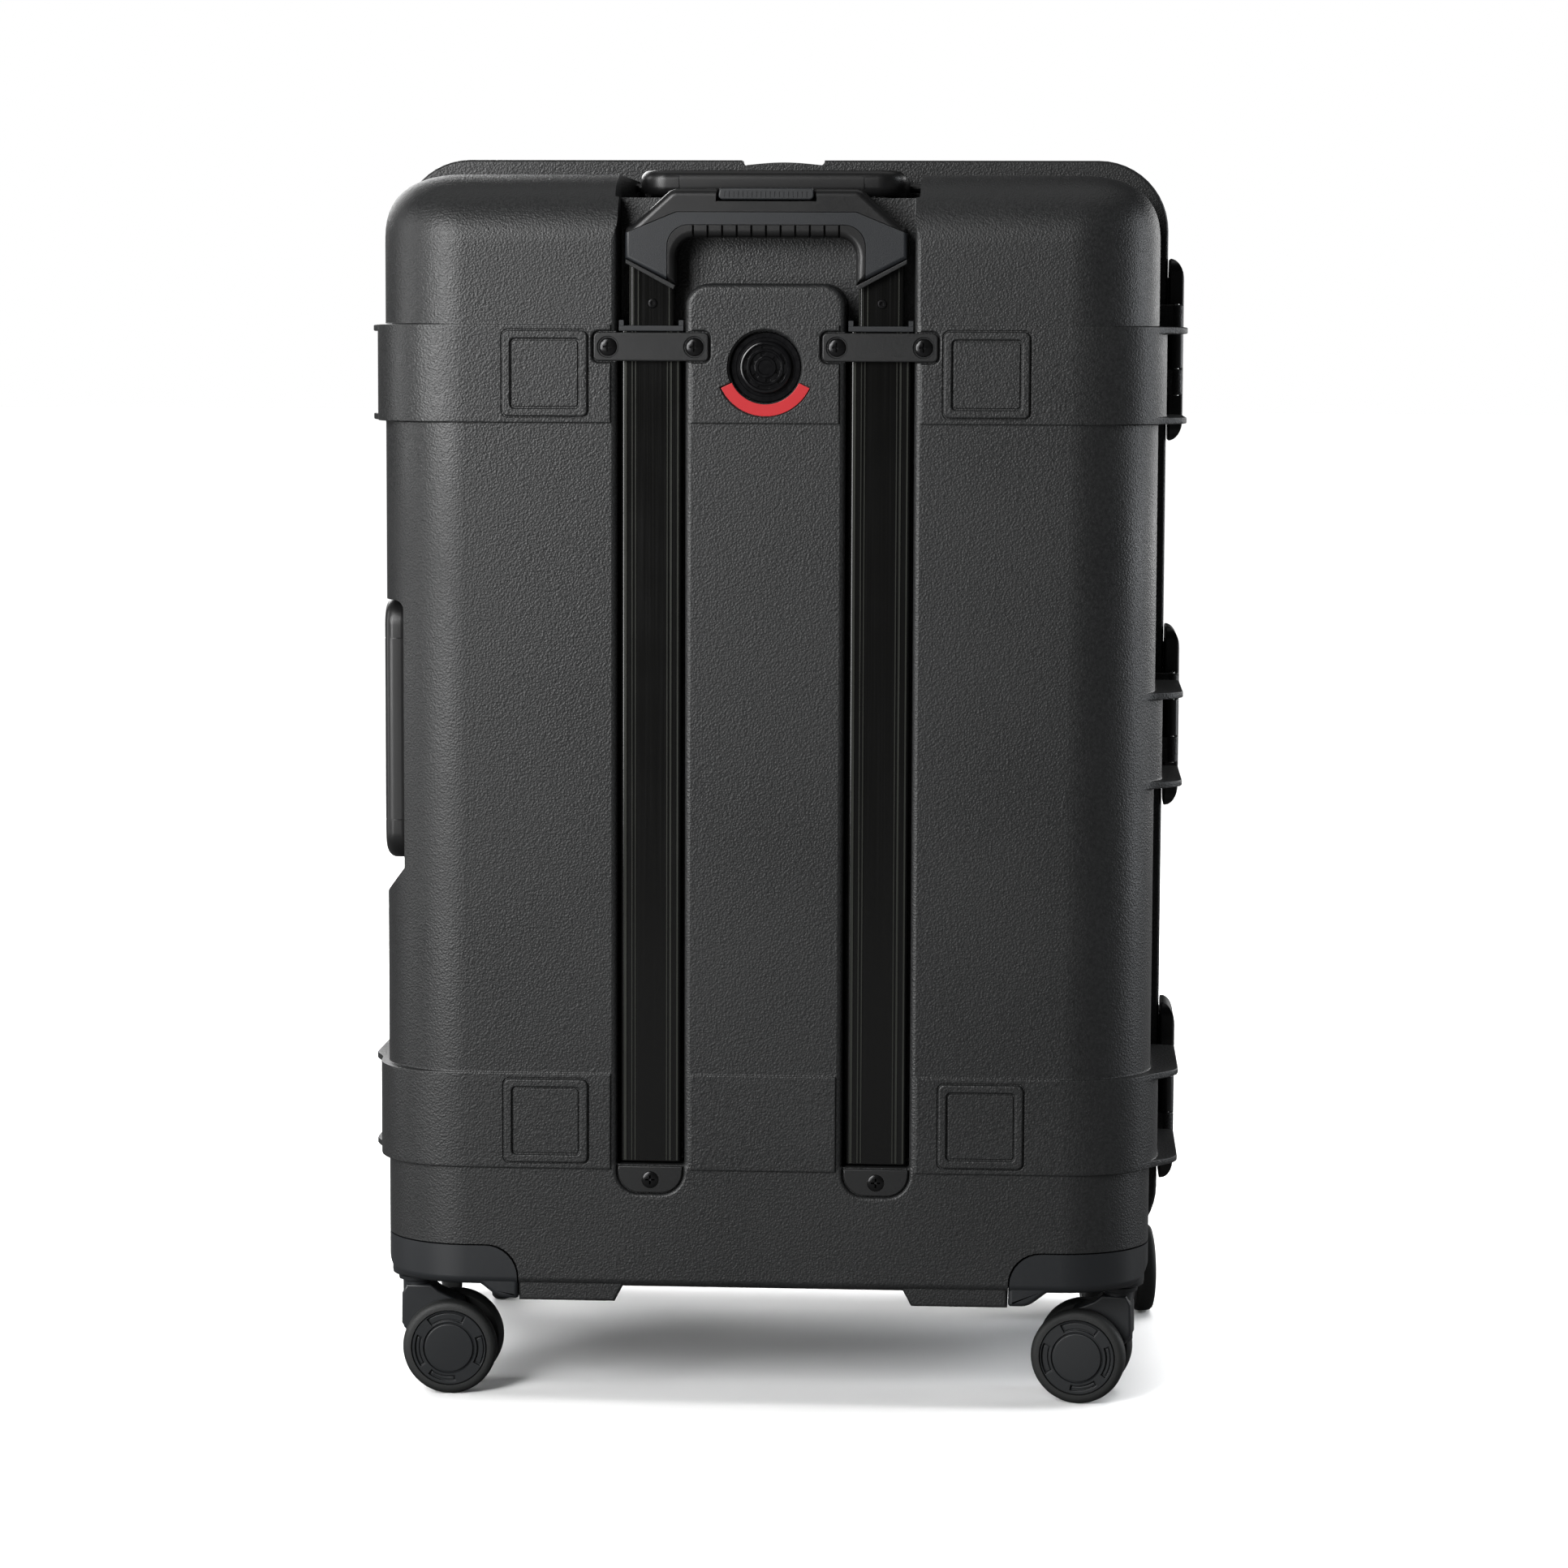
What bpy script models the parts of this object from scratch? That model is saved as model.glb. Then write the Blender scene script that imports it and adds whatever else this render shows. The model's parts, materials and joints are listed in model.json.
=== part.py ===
"""A tall wheeled equipment case: two moulded half shells hinged on one long side, three latches on the
other, a telescoping trolley handle set in the back, two fold-down carry handles and four spinner casters.

Metres, +Z up. X runs across the case (hinges at -X, latches at +X) and Y through its depth: the back
shell with the trolley faces -Y, the lid faces +Y and the two meet at Y = 0. The origin is on the floor,
under the middle of the case.
"""

import math

import bmesh
import bpy
from mathutils import Matrix, Vector

# ---------------------------------------------------------------- driving dimensions
HALF_W = 0.251          # side wall of the shells
BACK_Y = -0.188         # back face
FRONT_Y = 0.1904        # front face of the lid
TOP_Z = 0.7985          # top of the shells
BOTTOM_Z = 0.078        # underside of the shells
EDGE_R = 0.045          # radius of the shells' outer edges
BOTTOM_R = 0.0160       # radius of their lowest edges, beside the casters
EDGE_STEPS = 4
WALL = 0.004
PARTING = 0.0005        # half the gap between the two rims
GAP = 0.0004            # clearance between touching pieces

FLANGE_HALF_W = 0.2592
FLANGE_TOP = 0.8130
FLANGE_BOTTOM = 0.0695
FLANGE_Y = 0.012
FLANGE_R = 0.047
NOTCH_HALF_W = 0.028    # finger notch in the middle of the top flange
NOTCH_DEPTH = 0.0035

BAND_H = 0.0626         # raised band round the sides, edged by two ribs
BAND_HALF_W = 0.2565
BAND_LOWS = (0.6394, 0.1562)
LATCH_BAND_LOW = 0.4040
RIB_H = 0.0055
RIB_HALF_W = 0.2675
RIB_FULL_DEPTH = 0.062  # distance from the face at which a rib has its full width

RUNNER_X = (0.0967, 0.1592)
RUNNER_BOTTOM = 0.0682

PAD_HALF = 0.0278       # square frames moulded on the bands
PAD_X = 0.1410
PAD_RAISE = 0.0008

# trolley handle
TUBE_X = 0.0733
GROOVE_X = (0.0512, 0.0949)
GROOVE_FLOOR = BACK_Y + 0.0260
GROOVE_BOTTOM = 0.1590
GUIDE_W, GUIDE_D, GUIDE_WALL = 0.0386, 0.0200, 0.0017
GUIDE_FACE = BACK_Y + 0.0038
GUIDE_Z = (0.1610, 0.6990)
BUSHING_Z = (0.6600, 0.7032)
SLIDER_W, SLIDER_D, SLIDER_WALL = 0.0288, 0.0132, 0.0016
SLIDER_Z = (0.1760, 0.7580)
CENTRE_PANEL_TOP = 0.7280
GRIP_HALF_W = 0.0900
GRIP_FACE, GRIP_BACK = BACK_Y + 0.0010, BACK_Y + 0.0250
GRIP_TOP = 0.7880
GRIP_OPENING_TOP = 0.7570
GRIP_OPENING_HALF_W = 0.0578
BUTTON_HALF_W = 0.0305
BUTTON_Z = (0.7810, 0.7884)
BUTTON_TRAVEL = 0.0020
STRAP_X = (0.0362, 0.1098)
STRAP_Z = (0.6788, 0.6970)
STRAP_FACE = BACK_Y - 0.0014
STRAP_SEAT = 0.0016
STRAP_SCREW_X = (0.0454, 0.1007)
STRAP_SCREW_Z = 0.6878
FOOT_PLATE_R = 0.0208
FOOT_SCREW_Z = 0.1494
SCREW_R = 0.0060
SHANK_R = 0.0021
HOLE_R = 0.0026

# pressure valve
VALVE_Z = 0.6752
VALVE_RECESS_R = 0.0229
VALVE_RECESS_DEPTH = 0.0070
VALVE_CAP_R = 0.0154
VALVE_SHANK_R = 0.0090
BADGE_R = (0.0236, 0.0308)
BADGE_HALF_ANGLE = math.radians(64)

# carry handles
HANDLE_HALF_L = 0.0865
HANDLE_T = 0.0170
HANDLE_BAR_W = 0.0240
HANDLE_ARM_W = 0.0190
HANDLE_REACH = 0.1000    # pivot axis to the outer edge of the bar
HANDLE_PIVOT_Y = -0.0300
HANDLE_PROUD = 0.0035
POCKET_DEPTH = 0.0155
POCKET_HALF_L = 0.0975
SIDE_HANDLE_Z = 0.4365
HANDLE_PIN_R = 0.0030

# hinges on the -X side
HINGE_AXIS_X = -0.2655
HINGE_H = 0.0480
HINGE_LEAF_REACH = 0.0480
KNUCKLE_R = 0.0045
HINGE_PIN_R = 0.0019

# latches on the +X side
LATCH_ZS = {"upper": 0.6870, "middle": 0.4400, "lower": 0.1830}
LATCH_HALF_H = 0.0610
LATCH_AXIS_X = 0.2652
LATCH_AXIS_Y = -0.0240
LATCH_OUTER_X = 0.2700
LATCH_FREE_Y = 0.0300
LATCH_INNER_X = 0.2640
LATCH_LIP_X = FLANGE_HALF_W + 0.0005
LATCH_LUG_Z = (0.0130, 0.0300)
LATCH_PIN_R = 0.0016

# casters
WHEEL_R = 0.0310
WHEEL_W = 0.0140
WHEEL_INNER = 0.0110     # from the middle of the caster to a wheel's inner face
AXLE_R = 0.0030
TRAIL = 0.0240
CASTER_X = 0.2320
CASTER_INSET = 0.0450
COLLAR_R = 0.0150
COLLAR_Z = 0.0765
KINGPIN_R = 0.0050
HOUSING_X = (0.1600, 0.2600)
HOUSING_TOP = 0.1045
HOUSING_KNEE_R = 0.0210
HOUSING_DEPTH = 0.0950
HOUSING_BOTTOM = 0.0780
# direction in which each caster's wheels trail, in degrees from +X
CASTER_TRAILS = {"back_left": 0.0, "back_right": 172.0, "front_left": -80.0, "front_right": -83.0}

MATERIALS = {
    "shell_plastic": ((0.040, 0.042, 0.043), 0.55, 0.0),
    "trim_plastic": ((0.032, 0.034, 0.037), 0.50, 0.0),
    "soft_grip": ((0.022, 0.022, 0.023), 0.75, 0.0),
    "black_aluminium": ((0.010, 0.010, 0.009), 0.22, 0.9),
    "dark_steel": ((0.020, 0.020, 0.021), 0.30, 1.0),
    "bright_steel": ((0.550, 0.550, 0.540), 0.30, 1.0),
    "gloss_plastic": ((0.012, 0.012, 0.013), 0.20, 0.0),
    "wheel_rubber": ((0.030, 0.031, 0.030), 0.70, 0.0),
    "seal_rubber": ((0.015, 0.015, 0.015), 0.80, 0.0),
    "red_label": ((0.750, 0.035, 0.035), 0.40, 0.0),
}


# ---------------------------------------------------------------- scene helpers
def clear_scene():
    for obj in list(bpy.data.objects):
        bpy.data.objects.remove(obj, do_unlink=True)


def collection(name):
    made = bpy.data.collections.new(name)
    bpy.context.scene.collection.children.link(made)
    return made


def material(name):
    found = bpy.data.materials.get(name)
    if found:
        return found
    colour, roughness, metallic = MATERIALS[name]
    made = bpy.data.materials.new(name)
    made.use_nodes = True
    shader = made.node_tree.nodes["Principled BSDF"]
    shader.inputs["Base Color"].default_value = (*colour, 1.0)
    shader.inputs["Roughness"].default_value = roughness
    shader.inputs["Metallic"].default_value = metallic
    return made


def add_object(name, bm, group, finish=None):
    """An object in a collection from a bmesh, which is used up."""
    bmesh.ops.recalc_face_normals(bm, faces=bm.faces[:])
    mesh = bpy.data.meshes.new(name)
    bm.to_mesh(mesh)
    bm.free()
    obj = bpy.data.objects.new(name, mesh)
    group.objects.link(obj)
    if finish:
        mesh.materials.append(material(finish))
    return obj


def part(name, bm, finish):
    return add_object(name, bm, PARTS, finish)


def tool(name, bm):
    """A cutter or an addition that only modifies another object."""
    obj = add_object(name, bm, TOOLS)
    obj.hide_render = True
    obj.display_type = "WIRE"
    return obj


def boolean(obj, other, operation):
    modifier = obj.modifiers.new(f"{operation.lower()} {other.name}", "BOOLEAN")
    modifier.operation = operation
    modifier.object = other
    modifier.solver = "EXACT"
    return modifier


def cut(obj, *others):
    for other in others:
        boolean(obj, other, "DIFFERENCE")


def join(obj, *others):
    for other in others:
        boolean(obj, other, "UNION")


def bevel(obj, width, segments=2, angle=40):
    modifier = obj.modifiers.new("rounded edges", "BEVEL")
    modifier.width = width
    modifier.segments = segments
    modifier.limit_method = "ANGLE"
    modifier.angle_limit = math.radians(angle)
    modifier.harden_normals = False


# ---------------------------------------------------------------- shapes
def box(low, high):
    """A box between two corners."""
    bm = bmesh.new()
    size = Vector(high) - Vector(low)
    middle = (Vector(high) + Vector(low)) / 2
    bmesh.ops.create_cube(bm, size=1.0, matrix=Matrix.Translation(middle) @ Matrix.Diagonal((*size, 1.0)))
    return bm


def cylinder(radius, low, high, axis="Z", centre=(0.0, 0.0), segments=16, top_radius=None):
    """A cylinder or cone along an axis, from low to high on it. Centre is on the other two axes, in order."""
    bm = bmesh.new()
    turn = {
        "Z": Matrix.Identity(4),
        "Y": Matrix.Rotation(math.radians(-90), 4, "X"),
        "X": Matrix.Rotation(math.radians(90), 4, "Y"),
    }[axis]
    a, b = centre
    middle = (low + high) / 2
    place = {"Z": (a, b, middle), "Y": (a, middle, b), "X": (middle, a, b)}[axis]
    bmesh.ops.create_cone(
        bm, cap_ends=True, segments=segments, radius1=radius,
        radius2=radius if top_radius is None else top_radius,
        depth=high - low, matrix=Matrix.Translation(place) @ turn,
    )
    return bm


def arc(centre, radius, start, end, steps):
    """Points on an arc in a plane, angles in degrees."""
    found = []
    for i in range(steps + 1):
        angle = math.radians(start + (end - start) * i / steps)
        found.append((centre[0] + radius * math.cos(angle), centre[1] + radius * math.sin(angle)))
    return found


def rounded_rectangle(low, high, radius, steps=4):
    """Outline points of a rectangle with round corners, anticlockwise."""
    (x0, y0), (x1, y1) = low, high
    return (
        arc((x1 - radius, y0 + radius), radius, -90, 0, steps)
        + arc((x1 - radius, y1 - radius), radius, 0, 90, steps)
        + arc((x0 + radius, y1 - radius), radius, 90, 180, steps)
        + arc((x0 + radius, y0 + radius), radius, 180, 270, steps)
    )


def extrusion(outline, low, high, axis="Y"):
    """A flat outline extruded along an axis. Its points are (X, Z) for Y, (X, Y) for Z and (Y, Z) for X."""
    place = {
        "Y": lambda a, b, h: (a, h, b),
        "Z": lambda a, b, h: (a, b, h),
        "X": lambda a, b, h: (h, a, b),
    }[axis]
    bm = bmesh.new()
    face = bm.faces.new([bm.verts.new(place(a, b, low)) for a, b in outline])
    made = bmesh.ops.extrude_face_region(bm, geom=[face])
    moved = [v for v in made["geom"] if isinstance(v, bmesh.types.BMVert)]
    bmesh.ops.translate(bm, verts=moved, vec=place(0.0, 0.0, high - low))
    return bm


def merged(*pieces):
    """One bmesh that holds several, for cutters whose pieces lie apart."""
    bm = bmesh.new()
    for piece in pieces:
        mesh = bpy.data.meshes.new("piece")
        piece.to_mesh(mesh)
        piece.free()
        bm.from_mesh(mesh)
        bpy.data.meshes.remove(mesh)
    return bm


def half_body(inset, side):
    """One half of the rounded body, inset by a wall, closed at its rim. Side is -1 for the back, 1 for the lid."""
    face = BACK_Y if side < 0 else FRONT_Y
    bm = box(
        (-HALF_W + inset, -abs(face) + inset, BOTTOM_Z + inset),
        (HALF_W - inset, abs(face) - inset, TOP_Z - inset),
    )
    upper = [e for e in bm.edges if max(v.co.z for v in e.verts) > TOP_Z / 2]
    bmesh.ops.bevel(
        bm, geom=upper, offset=EDGE_R - inset, segments=EDGE_STEPS, profile=0.5, affect="EDGES",
    )
    lowest = min(v.co.z for v in bm.verts)
    lower = [e for e in bm.edges if max(v.co.z for v in e.verts) < lowest + 1e-5]
    bmesh.ops.bevel(
        bm, geom=lower, offset=BOTTOM_R - inset, segments=3, profile=0.5, affect="EDGES",
    )
    rim = -PARTING if side < 0 else PARTING
    if inset:
        rim = -side * 0.002  # a cavity cutter runs past the rim
    bmesh.ops.bisect_plane(
        bm, geom=bm.verts[:] + bm.edges[:] + bm.faces[:], plane_co=(0, rim, 0),
        plane_no=(0, -side, 0), clear_outer=True,
    )
    open_edges = [e for e in bm.edges if e.is_boundary]
    bmesh.ops.contextual_create(bm, geom=open_edges)
    return bm


def mirrored(points, side):
    return [(x, side * y) for x, y in points]


def belt_outline(half_w, side, left=True, right=True):
    """Plan outline of a band or a rib: flush with the face, growing out round the corner, back in at the rim."""
    face = abs(BACK_Y if side < 0 else FRONT_Y)
    start = HALF_W - EDGE_R + 0.004
    grown = [
        (start, face - 0.0015),
        (start + 0.55 * (half_w - start), face - 0.008),
        (start + 0.90 * (half_w - start), face - 0.030),
        (half_w, face - RIB_FULL_DEPTH),
        (half_w, face - 1.6 * RIB_FULL_DEPTH),
        (min(half_w, FLANGE_HALF_W + 0.003), 0.036),
        (min(half_w, FLANGE_HALF_W + 0.003), 0.004),
    ]
    plain = [(start, face - 0.0015), (start, 0.004)]
    right_side = grown if right else plain
    left_side = [(-x, y) for x, y in reversed(grown if left else plain)]
    outline = right_side + left_side
    return mirrored(outline, 1 if side > 0 else -1)


# ---------------------------------------------------------------- shells
def belts(label, side):
    """The raised bands and their ribs, as additions to a shell."""
    made = []
    rows = [(low, True) for low in BAND_LOWS] + [(LATCH_BAND_LOW, False)]
    for row, (low, left) in enumerate(rows):
        high = low + BAND_H
        made.append(tool(f"{label} band {row}", extrusion(
            belt_outline(BAND_HALF_W, side, left=left), low + 0.001, high - 0.001, "Z")))
        for edge, z in enumerate((low, high - RIB_H)):
            made.append(tool(f"{label} rib {row} {edge}", extrusion(
                belt_outline(RIB_HALF_W, side, left=left), z, z + RIB_H, "Z")))
    return made


def flange(label, side):
    outline = rounded_rectangle(
        (-FLANGE_HALF_W, FLANGE_BOTTOM), (FLANGE_HALF_W, FLANGE_TOP), FLANGE_R, 5)
    low, high = sorted((side * PARTING, side * FLANGE_Y))
    return tool(f"{label} flange", extrusion(outline, low, high))


def runners(label, side):
    """Two skids under the shell, beside the casters."""
    face = BACK_Y if side < 0 else FRONT_Y
    made = []
    for x in (-1, 1):
        inner, outer = RUNNER_X
        slope = 0.0064
        outline = [
            (x * (inner - slope), BOTTOM_Z + 0.003),
            (x * inner, RUNNER_BOTTOM),
            (x * outer, RUNNER_BOTTOM),
            (x * outer, BOTTOM_Z + 0.060),
            (x * (inner - slope), BOTTOM_Z + 0.060),
        ]
        low, high = sorted((side * 0.008, face - side * 0.0012))
        runner = tool(f"{label} runner {x}", extrusion(outline, low, high))
        made.append(runner)
    return made


def pads(label, side):
    """Square frames on the flat of the face, level with the bands."""
    face = BACK_Y if side < 0 else FRONT_Y
    made = []
    for row, low in enumerate(BAND_LOWS):
        for x in (-1, 1):
            z = low + BAND_H / 2
            lo, hi = sorted((face + side * PAD_RAISE, face - side * 0.002))
            made.append(tool(f"{label} pad {row} {x}", box(
                (x * PAD_X - PAD_HALF, lo, z - PAD_HALF), (x * PAD_X + PAD_HALF, hi, z + PAD_HALF))))
    return made


def housing_outline(grow):
    """Front outline of a caster housing at +X, grown all round by a gap for the shell's cut-out."""
    inner, outer = HOUSING_X
    top = HOUSING_TOP + grow
    knee = (inner - grow + HOUSING_KNEE_R, top - HOUSING_KNEE_R)
    return (
        [(outer, HOUSING_BOTTOM - 0.012 - grow), (outer, top)]
        + arc(knee, HOUSING_KNEE_R, 90, 180, 4)
        + [(inner - grow, HOUSING_BOTTOM - 0.012 - grow)]
    )


def housing_cut(label, side):
    face = BACK_Y if side < 0 else FRONT_Y
    low, high = sorted((face + side * 0.01, face - side * (HOUSING_DEPTH + GAP)))
    outline = housing_outline(GAP)
    return tool(f"{label} housing cut", merged(
        extrusion(outline, low, high), extrusion([(-x, z) for x, z in outline], low, high)))


def pocket_cut(name, along_top):
    """The pocket that a fold-down handle lies in, open to the back face."""
    low_y, high_y = BACK_Y - 0.01, -FLANGE_Y - 0.0005
    if along_top:
        return tool(name, box(
            (-POCKET_HALF_L, low_y, TOP_Z - POCKET_DEPTH), (POCKET_HALF_L, high_y, TOP_Z + 0.02)))
    floor_x = -HALF_W + POCKET_DEPTH
    top = SIDE_HANDLE_Z + HANDLE_HALF_L + 0.0006
    bottom = SIDE_HANDLE_Z - HANDLE_HALF_L - 0.0006
    outline = [
        (floor_x, bottom), (floor_x, top), (-HALF_W - 0.02, top), (-HALF_W - 0.02, bottom - 0.028),
        (-HALF_W, bottom - 0.0206),
    ]
    return tool(name, extrusion(outline, low_y, high_y))


def cavity(label, side):
    """The inside of a half, with humps left for what is let in from outside."""
    inner = tool(f"{label} cavity", half_body(WALL, side))
    face = BACK_Y if side < 0 else FRONT_Y
    low, high = sorted((face + side * 0.01, face - side * (HOUSING_DEPTH + GAP + WALL)))
    outline = housing_outline(GAP + WALL)
    cut(inner, tool(f"{label} housing hump", merged(
        extrusion(outline, low, high), extrusion([(-x, z) for x, z in outline], low, high))))
    if side < 0:
        x0, x1 = GROOVE_X[0] - WALL, GROOVE_X[1] + WALL
        floor = GROOVE_FLOOR + WALL
        humps = [
            box((x0, BACK_Y, BOTTOM_Z), (x1, floor, TOP_Z)),
            box((-x1, BACK_Y, BOTTOM_Z), (-x0, floor, TOP_Z)),
            box((-x1, BACK_Y, CENTRE_PANEL_TOP - WALL), (x1, floor + 0.00002, TOP_Z)),
        ]
        for i, hump in enumerate(humps):
            cut(inner, tool(f"trolley hump {i}", hump))
        cut(inner, tool("top pocket hump", box(
            (-POCKET_HALF_L - WALL, BACK_Y - 0.01, TOP_Z - POCKET_DEPTH - WALL),
            (POCKET_HALF_L + WALL, 0.01, TOP_Z + 0.01))))
        cut(inner, tool("side pocket hump", box(
            (-HALF_W - 0.01, BACK_Y - 0.01, SIDE_HANDLE_Z - HANDLE_HALF_L - 0.024),
            (-HALF_W + POCKET_DEPTH + WALL, 0.01, SIDE_HANDLE_Z + HANDLE_HALF_L + WALL))))
        cut(inner, tool("valve hump", cylinder(
            VALVE_RECESS_R + WALL, BACK_Y, BACK_Y + VALVE_RECESS_DEPTH + WALL, "Y", (0, VALVE_Z), 20)))
    return inner


def trolley_cuts():
    """Grooves for the guide tubes, the recess for the grip and the seats of the straps and end plates."""
    made = []
    for x in (-1, 1):
        x0, x1 = sorted((x * GROOVE_X[0], x * GROOVE_X[1]))
        made.append(tool(f"groove {x}", box(
            (x0, BACK_Y - 0.01, GROOVE_BOTTOM), (x1, GROOVE_FLOOR, TOP_Z + 0.02))))
        plate = [(x * TUBE_X + px, z) for px, z in arc(
            (0.0, GROOVE_BOTTOM - 0.0008), FOOT_PLATE_R + GAP, 180, 360, 14)]
        made.append(tool(f"end plate seat {x}", extrusion(
            plate + [(x * TUBE_X + FOOT_PLATE_R + GAP, GROOVE_BOTTOM + 0.004),
                     (x * TUBE_X - FOOT_PLATE_R - GAP, GROOVE_BOTTOM + 0.004)],
            BACK_Y - 0.01, BACK_Y + 0.0030)))
        s0, s1 = sorted((x * STRAP_X[0], x * STRAP_X[1]))
        seat = rounded_rectangle(
            (s0 - GAP, STRAP_Z[0] - GAP), (s1 + GAP, STRAP_Z[1] + GAP), 0.004, 2)
        made.append(tool(f"strap seat {x}", extrusion(seat, BACK_Y - 0.01, BACK_Y + STRAP_SEAT)))
    made.append(tool("grip recess", box(
        (-GROOVE_X[1] + 0.00002, BACK_Y - 0.01, CENTRE_PANEL_TOP),
        (GROOVE_X[1] - 0.00002, GROOVE_FLOOR - 0.00002, TOP_Z + 0.02))))
    made.append(tool("valve recess", cylinder(
        VALVE_RECESS_R, BACK_Y - 0.01, BACK_Y + VALVE_RECESS_DEPTH, "Y", (0, VALVE_Z), 24)))
    made.append(tool("valve hole", cylinder(
        VALVE_SHANK_R + GAP, BACK_Y, BACK_Y + 0.02, "Y", (0, VALVE_Z), 16)))
    made.append(tool("badge seat", extrusion(
        badge_outline(GAP), BACK_Y - 0.01, BACK_Y + 0.0008)))
    return made


def badge_outline(grow):
    """A curved label under the valve."""
    inner, outer = BADGE_R
    spread = math.degrees(BADGE_HALF_ANGLE + grow / outer)
    outer_arc = arc((0, VALVE_Z), outer + grow, -90 - spread, -90 + spread, 10)
    inner_arc = arc((0, VALVE_Z), inner - grow, -90 + spread, -90 - spread, 10)
    return outer_arc + inner_arc


def latch_lugs(z):
    """Two lugs on the back shell that carry a latch's pin."""
    made = []
    for side in (-1, 1):
        low, high = sorted((z + side * LATCH_LUG_Z[0], z + side * LATCH_LUG_Z[1]))
        made.append(cylinder(KNUCKLE_R, low, high, "Z", (LATCH_AXIS_X, LATCH_AXIS_Y), 12))
        made.append(box((0.2490, LATCH_AXIS_Y - 0.0035, low), (LATCH_AXIS_X, LATCH_AXIS_Y + 0.0035, high)))
    return made


def latch_clearances(side):
    """Room beside the flange for the latches, through bands and ribs."""
    near = -0.0340 if side < 0 else 0.0340
    low, high = sorted((near, side * FLANGE_Y))
    return tool(f"latch rooms {side}", merged(*[
        box((HALF_W + 0.0002, low, z - LATCH_HALF_H - 0.002), (0.30, high, z + LATCH_HALF_H + 0.002))
        for z in LATCH_ZS.values()
    ]))


def hinge_clearances(side):
    """Flat seats for the hinge leaves, on the bands at -X."""
    low, high = sorted((side * (HINGE_LEAF_REACH + 0.001), side * 0.0001))
    return tool(f"hinge seats {side}", merged(*[
        box((-0.30, low, z - HINGE_H / 2 - GAP), (-BAND_HALF_W + 0.0010, high, z + HINGE_H / 2 + GAP))
        for z in hinge_zs()
    ]))


def hinge_zs():
    return [low + BAND_H / 2 for low in BAND_LOWS]


def make_back_shell():
    shell = part("back_shell", half_body(0.0, -1), "shell_plastic")
    join(shell, flange("back", -1), *belts("back", -1), *runners("back", -1), *pads("back", -1))
    cut(shell, cavity("back", -1), latch_clearances(-1), hinge_clearances(-1), notch("back", -1))
    cut(shell, *trolley_cuts())
    cut(shell, pocket_cut("top pocket", True), pocket_cut("side pocket", False))
    cut(shell, housing_cut("back", -1))
    for label, z in LATCH_ZS.items():
        for i, lug in enumerate(latch_lugs(z)):
            join(shell, tool(f"{label} latch lug {i}", lug))
        cut(shell, tool(f"{label} latch lug bore", cylinder(
            LATCH_PIN_R + GAP, z - 0.032, z + 0.032, "Z", (LATCH_AXIS_X, LATCH_AXIS_Y), 10)))
    for x in (-1, 1):
        for i, screw_x in enumerate(STRAP_SCREW_X):
            cut(shell, tool(f"strap screw hole {x} {i}", cylinder(
                HOLE_R, BACK_Y - 0.01, BACK_Y + 0.02, "Y", (x * screw_x, STRAP_SCREW_Z), 8)))
        cut(shell, tool(f"foot screw hole {x}", cylinder(
            HOLE_R, BACK_Y - 0.01, BACK_Y + 0.02, "Y", (x * TUBE_X, FOOT_SCREW_Z), 8)))
    cut(shell, *handle_lug_cuts())
    return shell


def notch(label, side):
    low, high = sorted((0.0, side * 0.02))
    return tool(f"{label} notch", box(
        (-NOTCH_HALF_W, low, FLANGE_TOP - NOTCH_DEPTH), (NOTCH_HALF_W, high, FLANGE_TOP + 0.01)))


def make_lid():
    lid = part("front_shell", half_body(0.0, 1), "shell_plastic")
    join(lid, flange("lid", 1), *belts("lid", 1), *runners("lid", 1), *pads("lid", 1))
    cut(lid, cavity("lid", 1), latch_clearances(1), hinge_clearances(1), notch("lid", 1))
    cut(lid, housing_cut("lid", 1))
    cut(lid, tool("seal groove", ring_of(0.0017, -0.001, 0.0030)))
    return lid


def ring_of(half, low, high):
    """A closed square ring round the rim of the case, half a width either side of the wall's middle."""
    bm = bmesh.new()
    inset = 0.0006
    rings = []
    for grow, y in ((-half, low), (half, low), (half, high), (-half, high)):
        reach = grow - inset
        outline = rounded_rectangle(
            (-HALF_W - reach, BOTTOM_Z - reach), (HALF_W + reach, TOP_Z + reach), EDGE_R + reach, 8)
        rings.append([bm.verts.new((x, y, z)) for x, z in outline])
    count = len(rings[0])
    for near, far in zip(rings, rings[1:] + rings[:1]):
        for i in range(count):
            j = (i + 1) % count
            bm.faces.new((near[i], near[j], far[j], far[i]))
    return bm


def handle_lug_cuts():
    """Bores for the ends of the carry handles' rods."""
    along_x = cylinder(
        HANDLE_PIN_R + GAP, -POCKET_HALF_L - 0.0032, POCKET_HALF_L + 0.0032, "X",
        (HANDLE_PIVOT_Y, handle_middle(TOP_Z)), 12)
    along_z = cylinder(
        HANDLE_PIN_R + GAP, SIDE_HANDLE_Z - HANDLE_HALF_L - 0.0040,
        SIDE_HANDLE_Z + HANDLE_HALF_L + 0.0040, "Z", (-handle_middle(HALF_W), HANDLE_PIVOT_Y), 12)
    return tool("top rod bore", along_x), tool("side rod bore", along_z)


def handle_middle(surface):
    """Height of a folded handle's middle, from the surface that its pocket is cut in."""
    return surface + HANDLE_PROUD - HANDLE_T / 2


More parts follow.
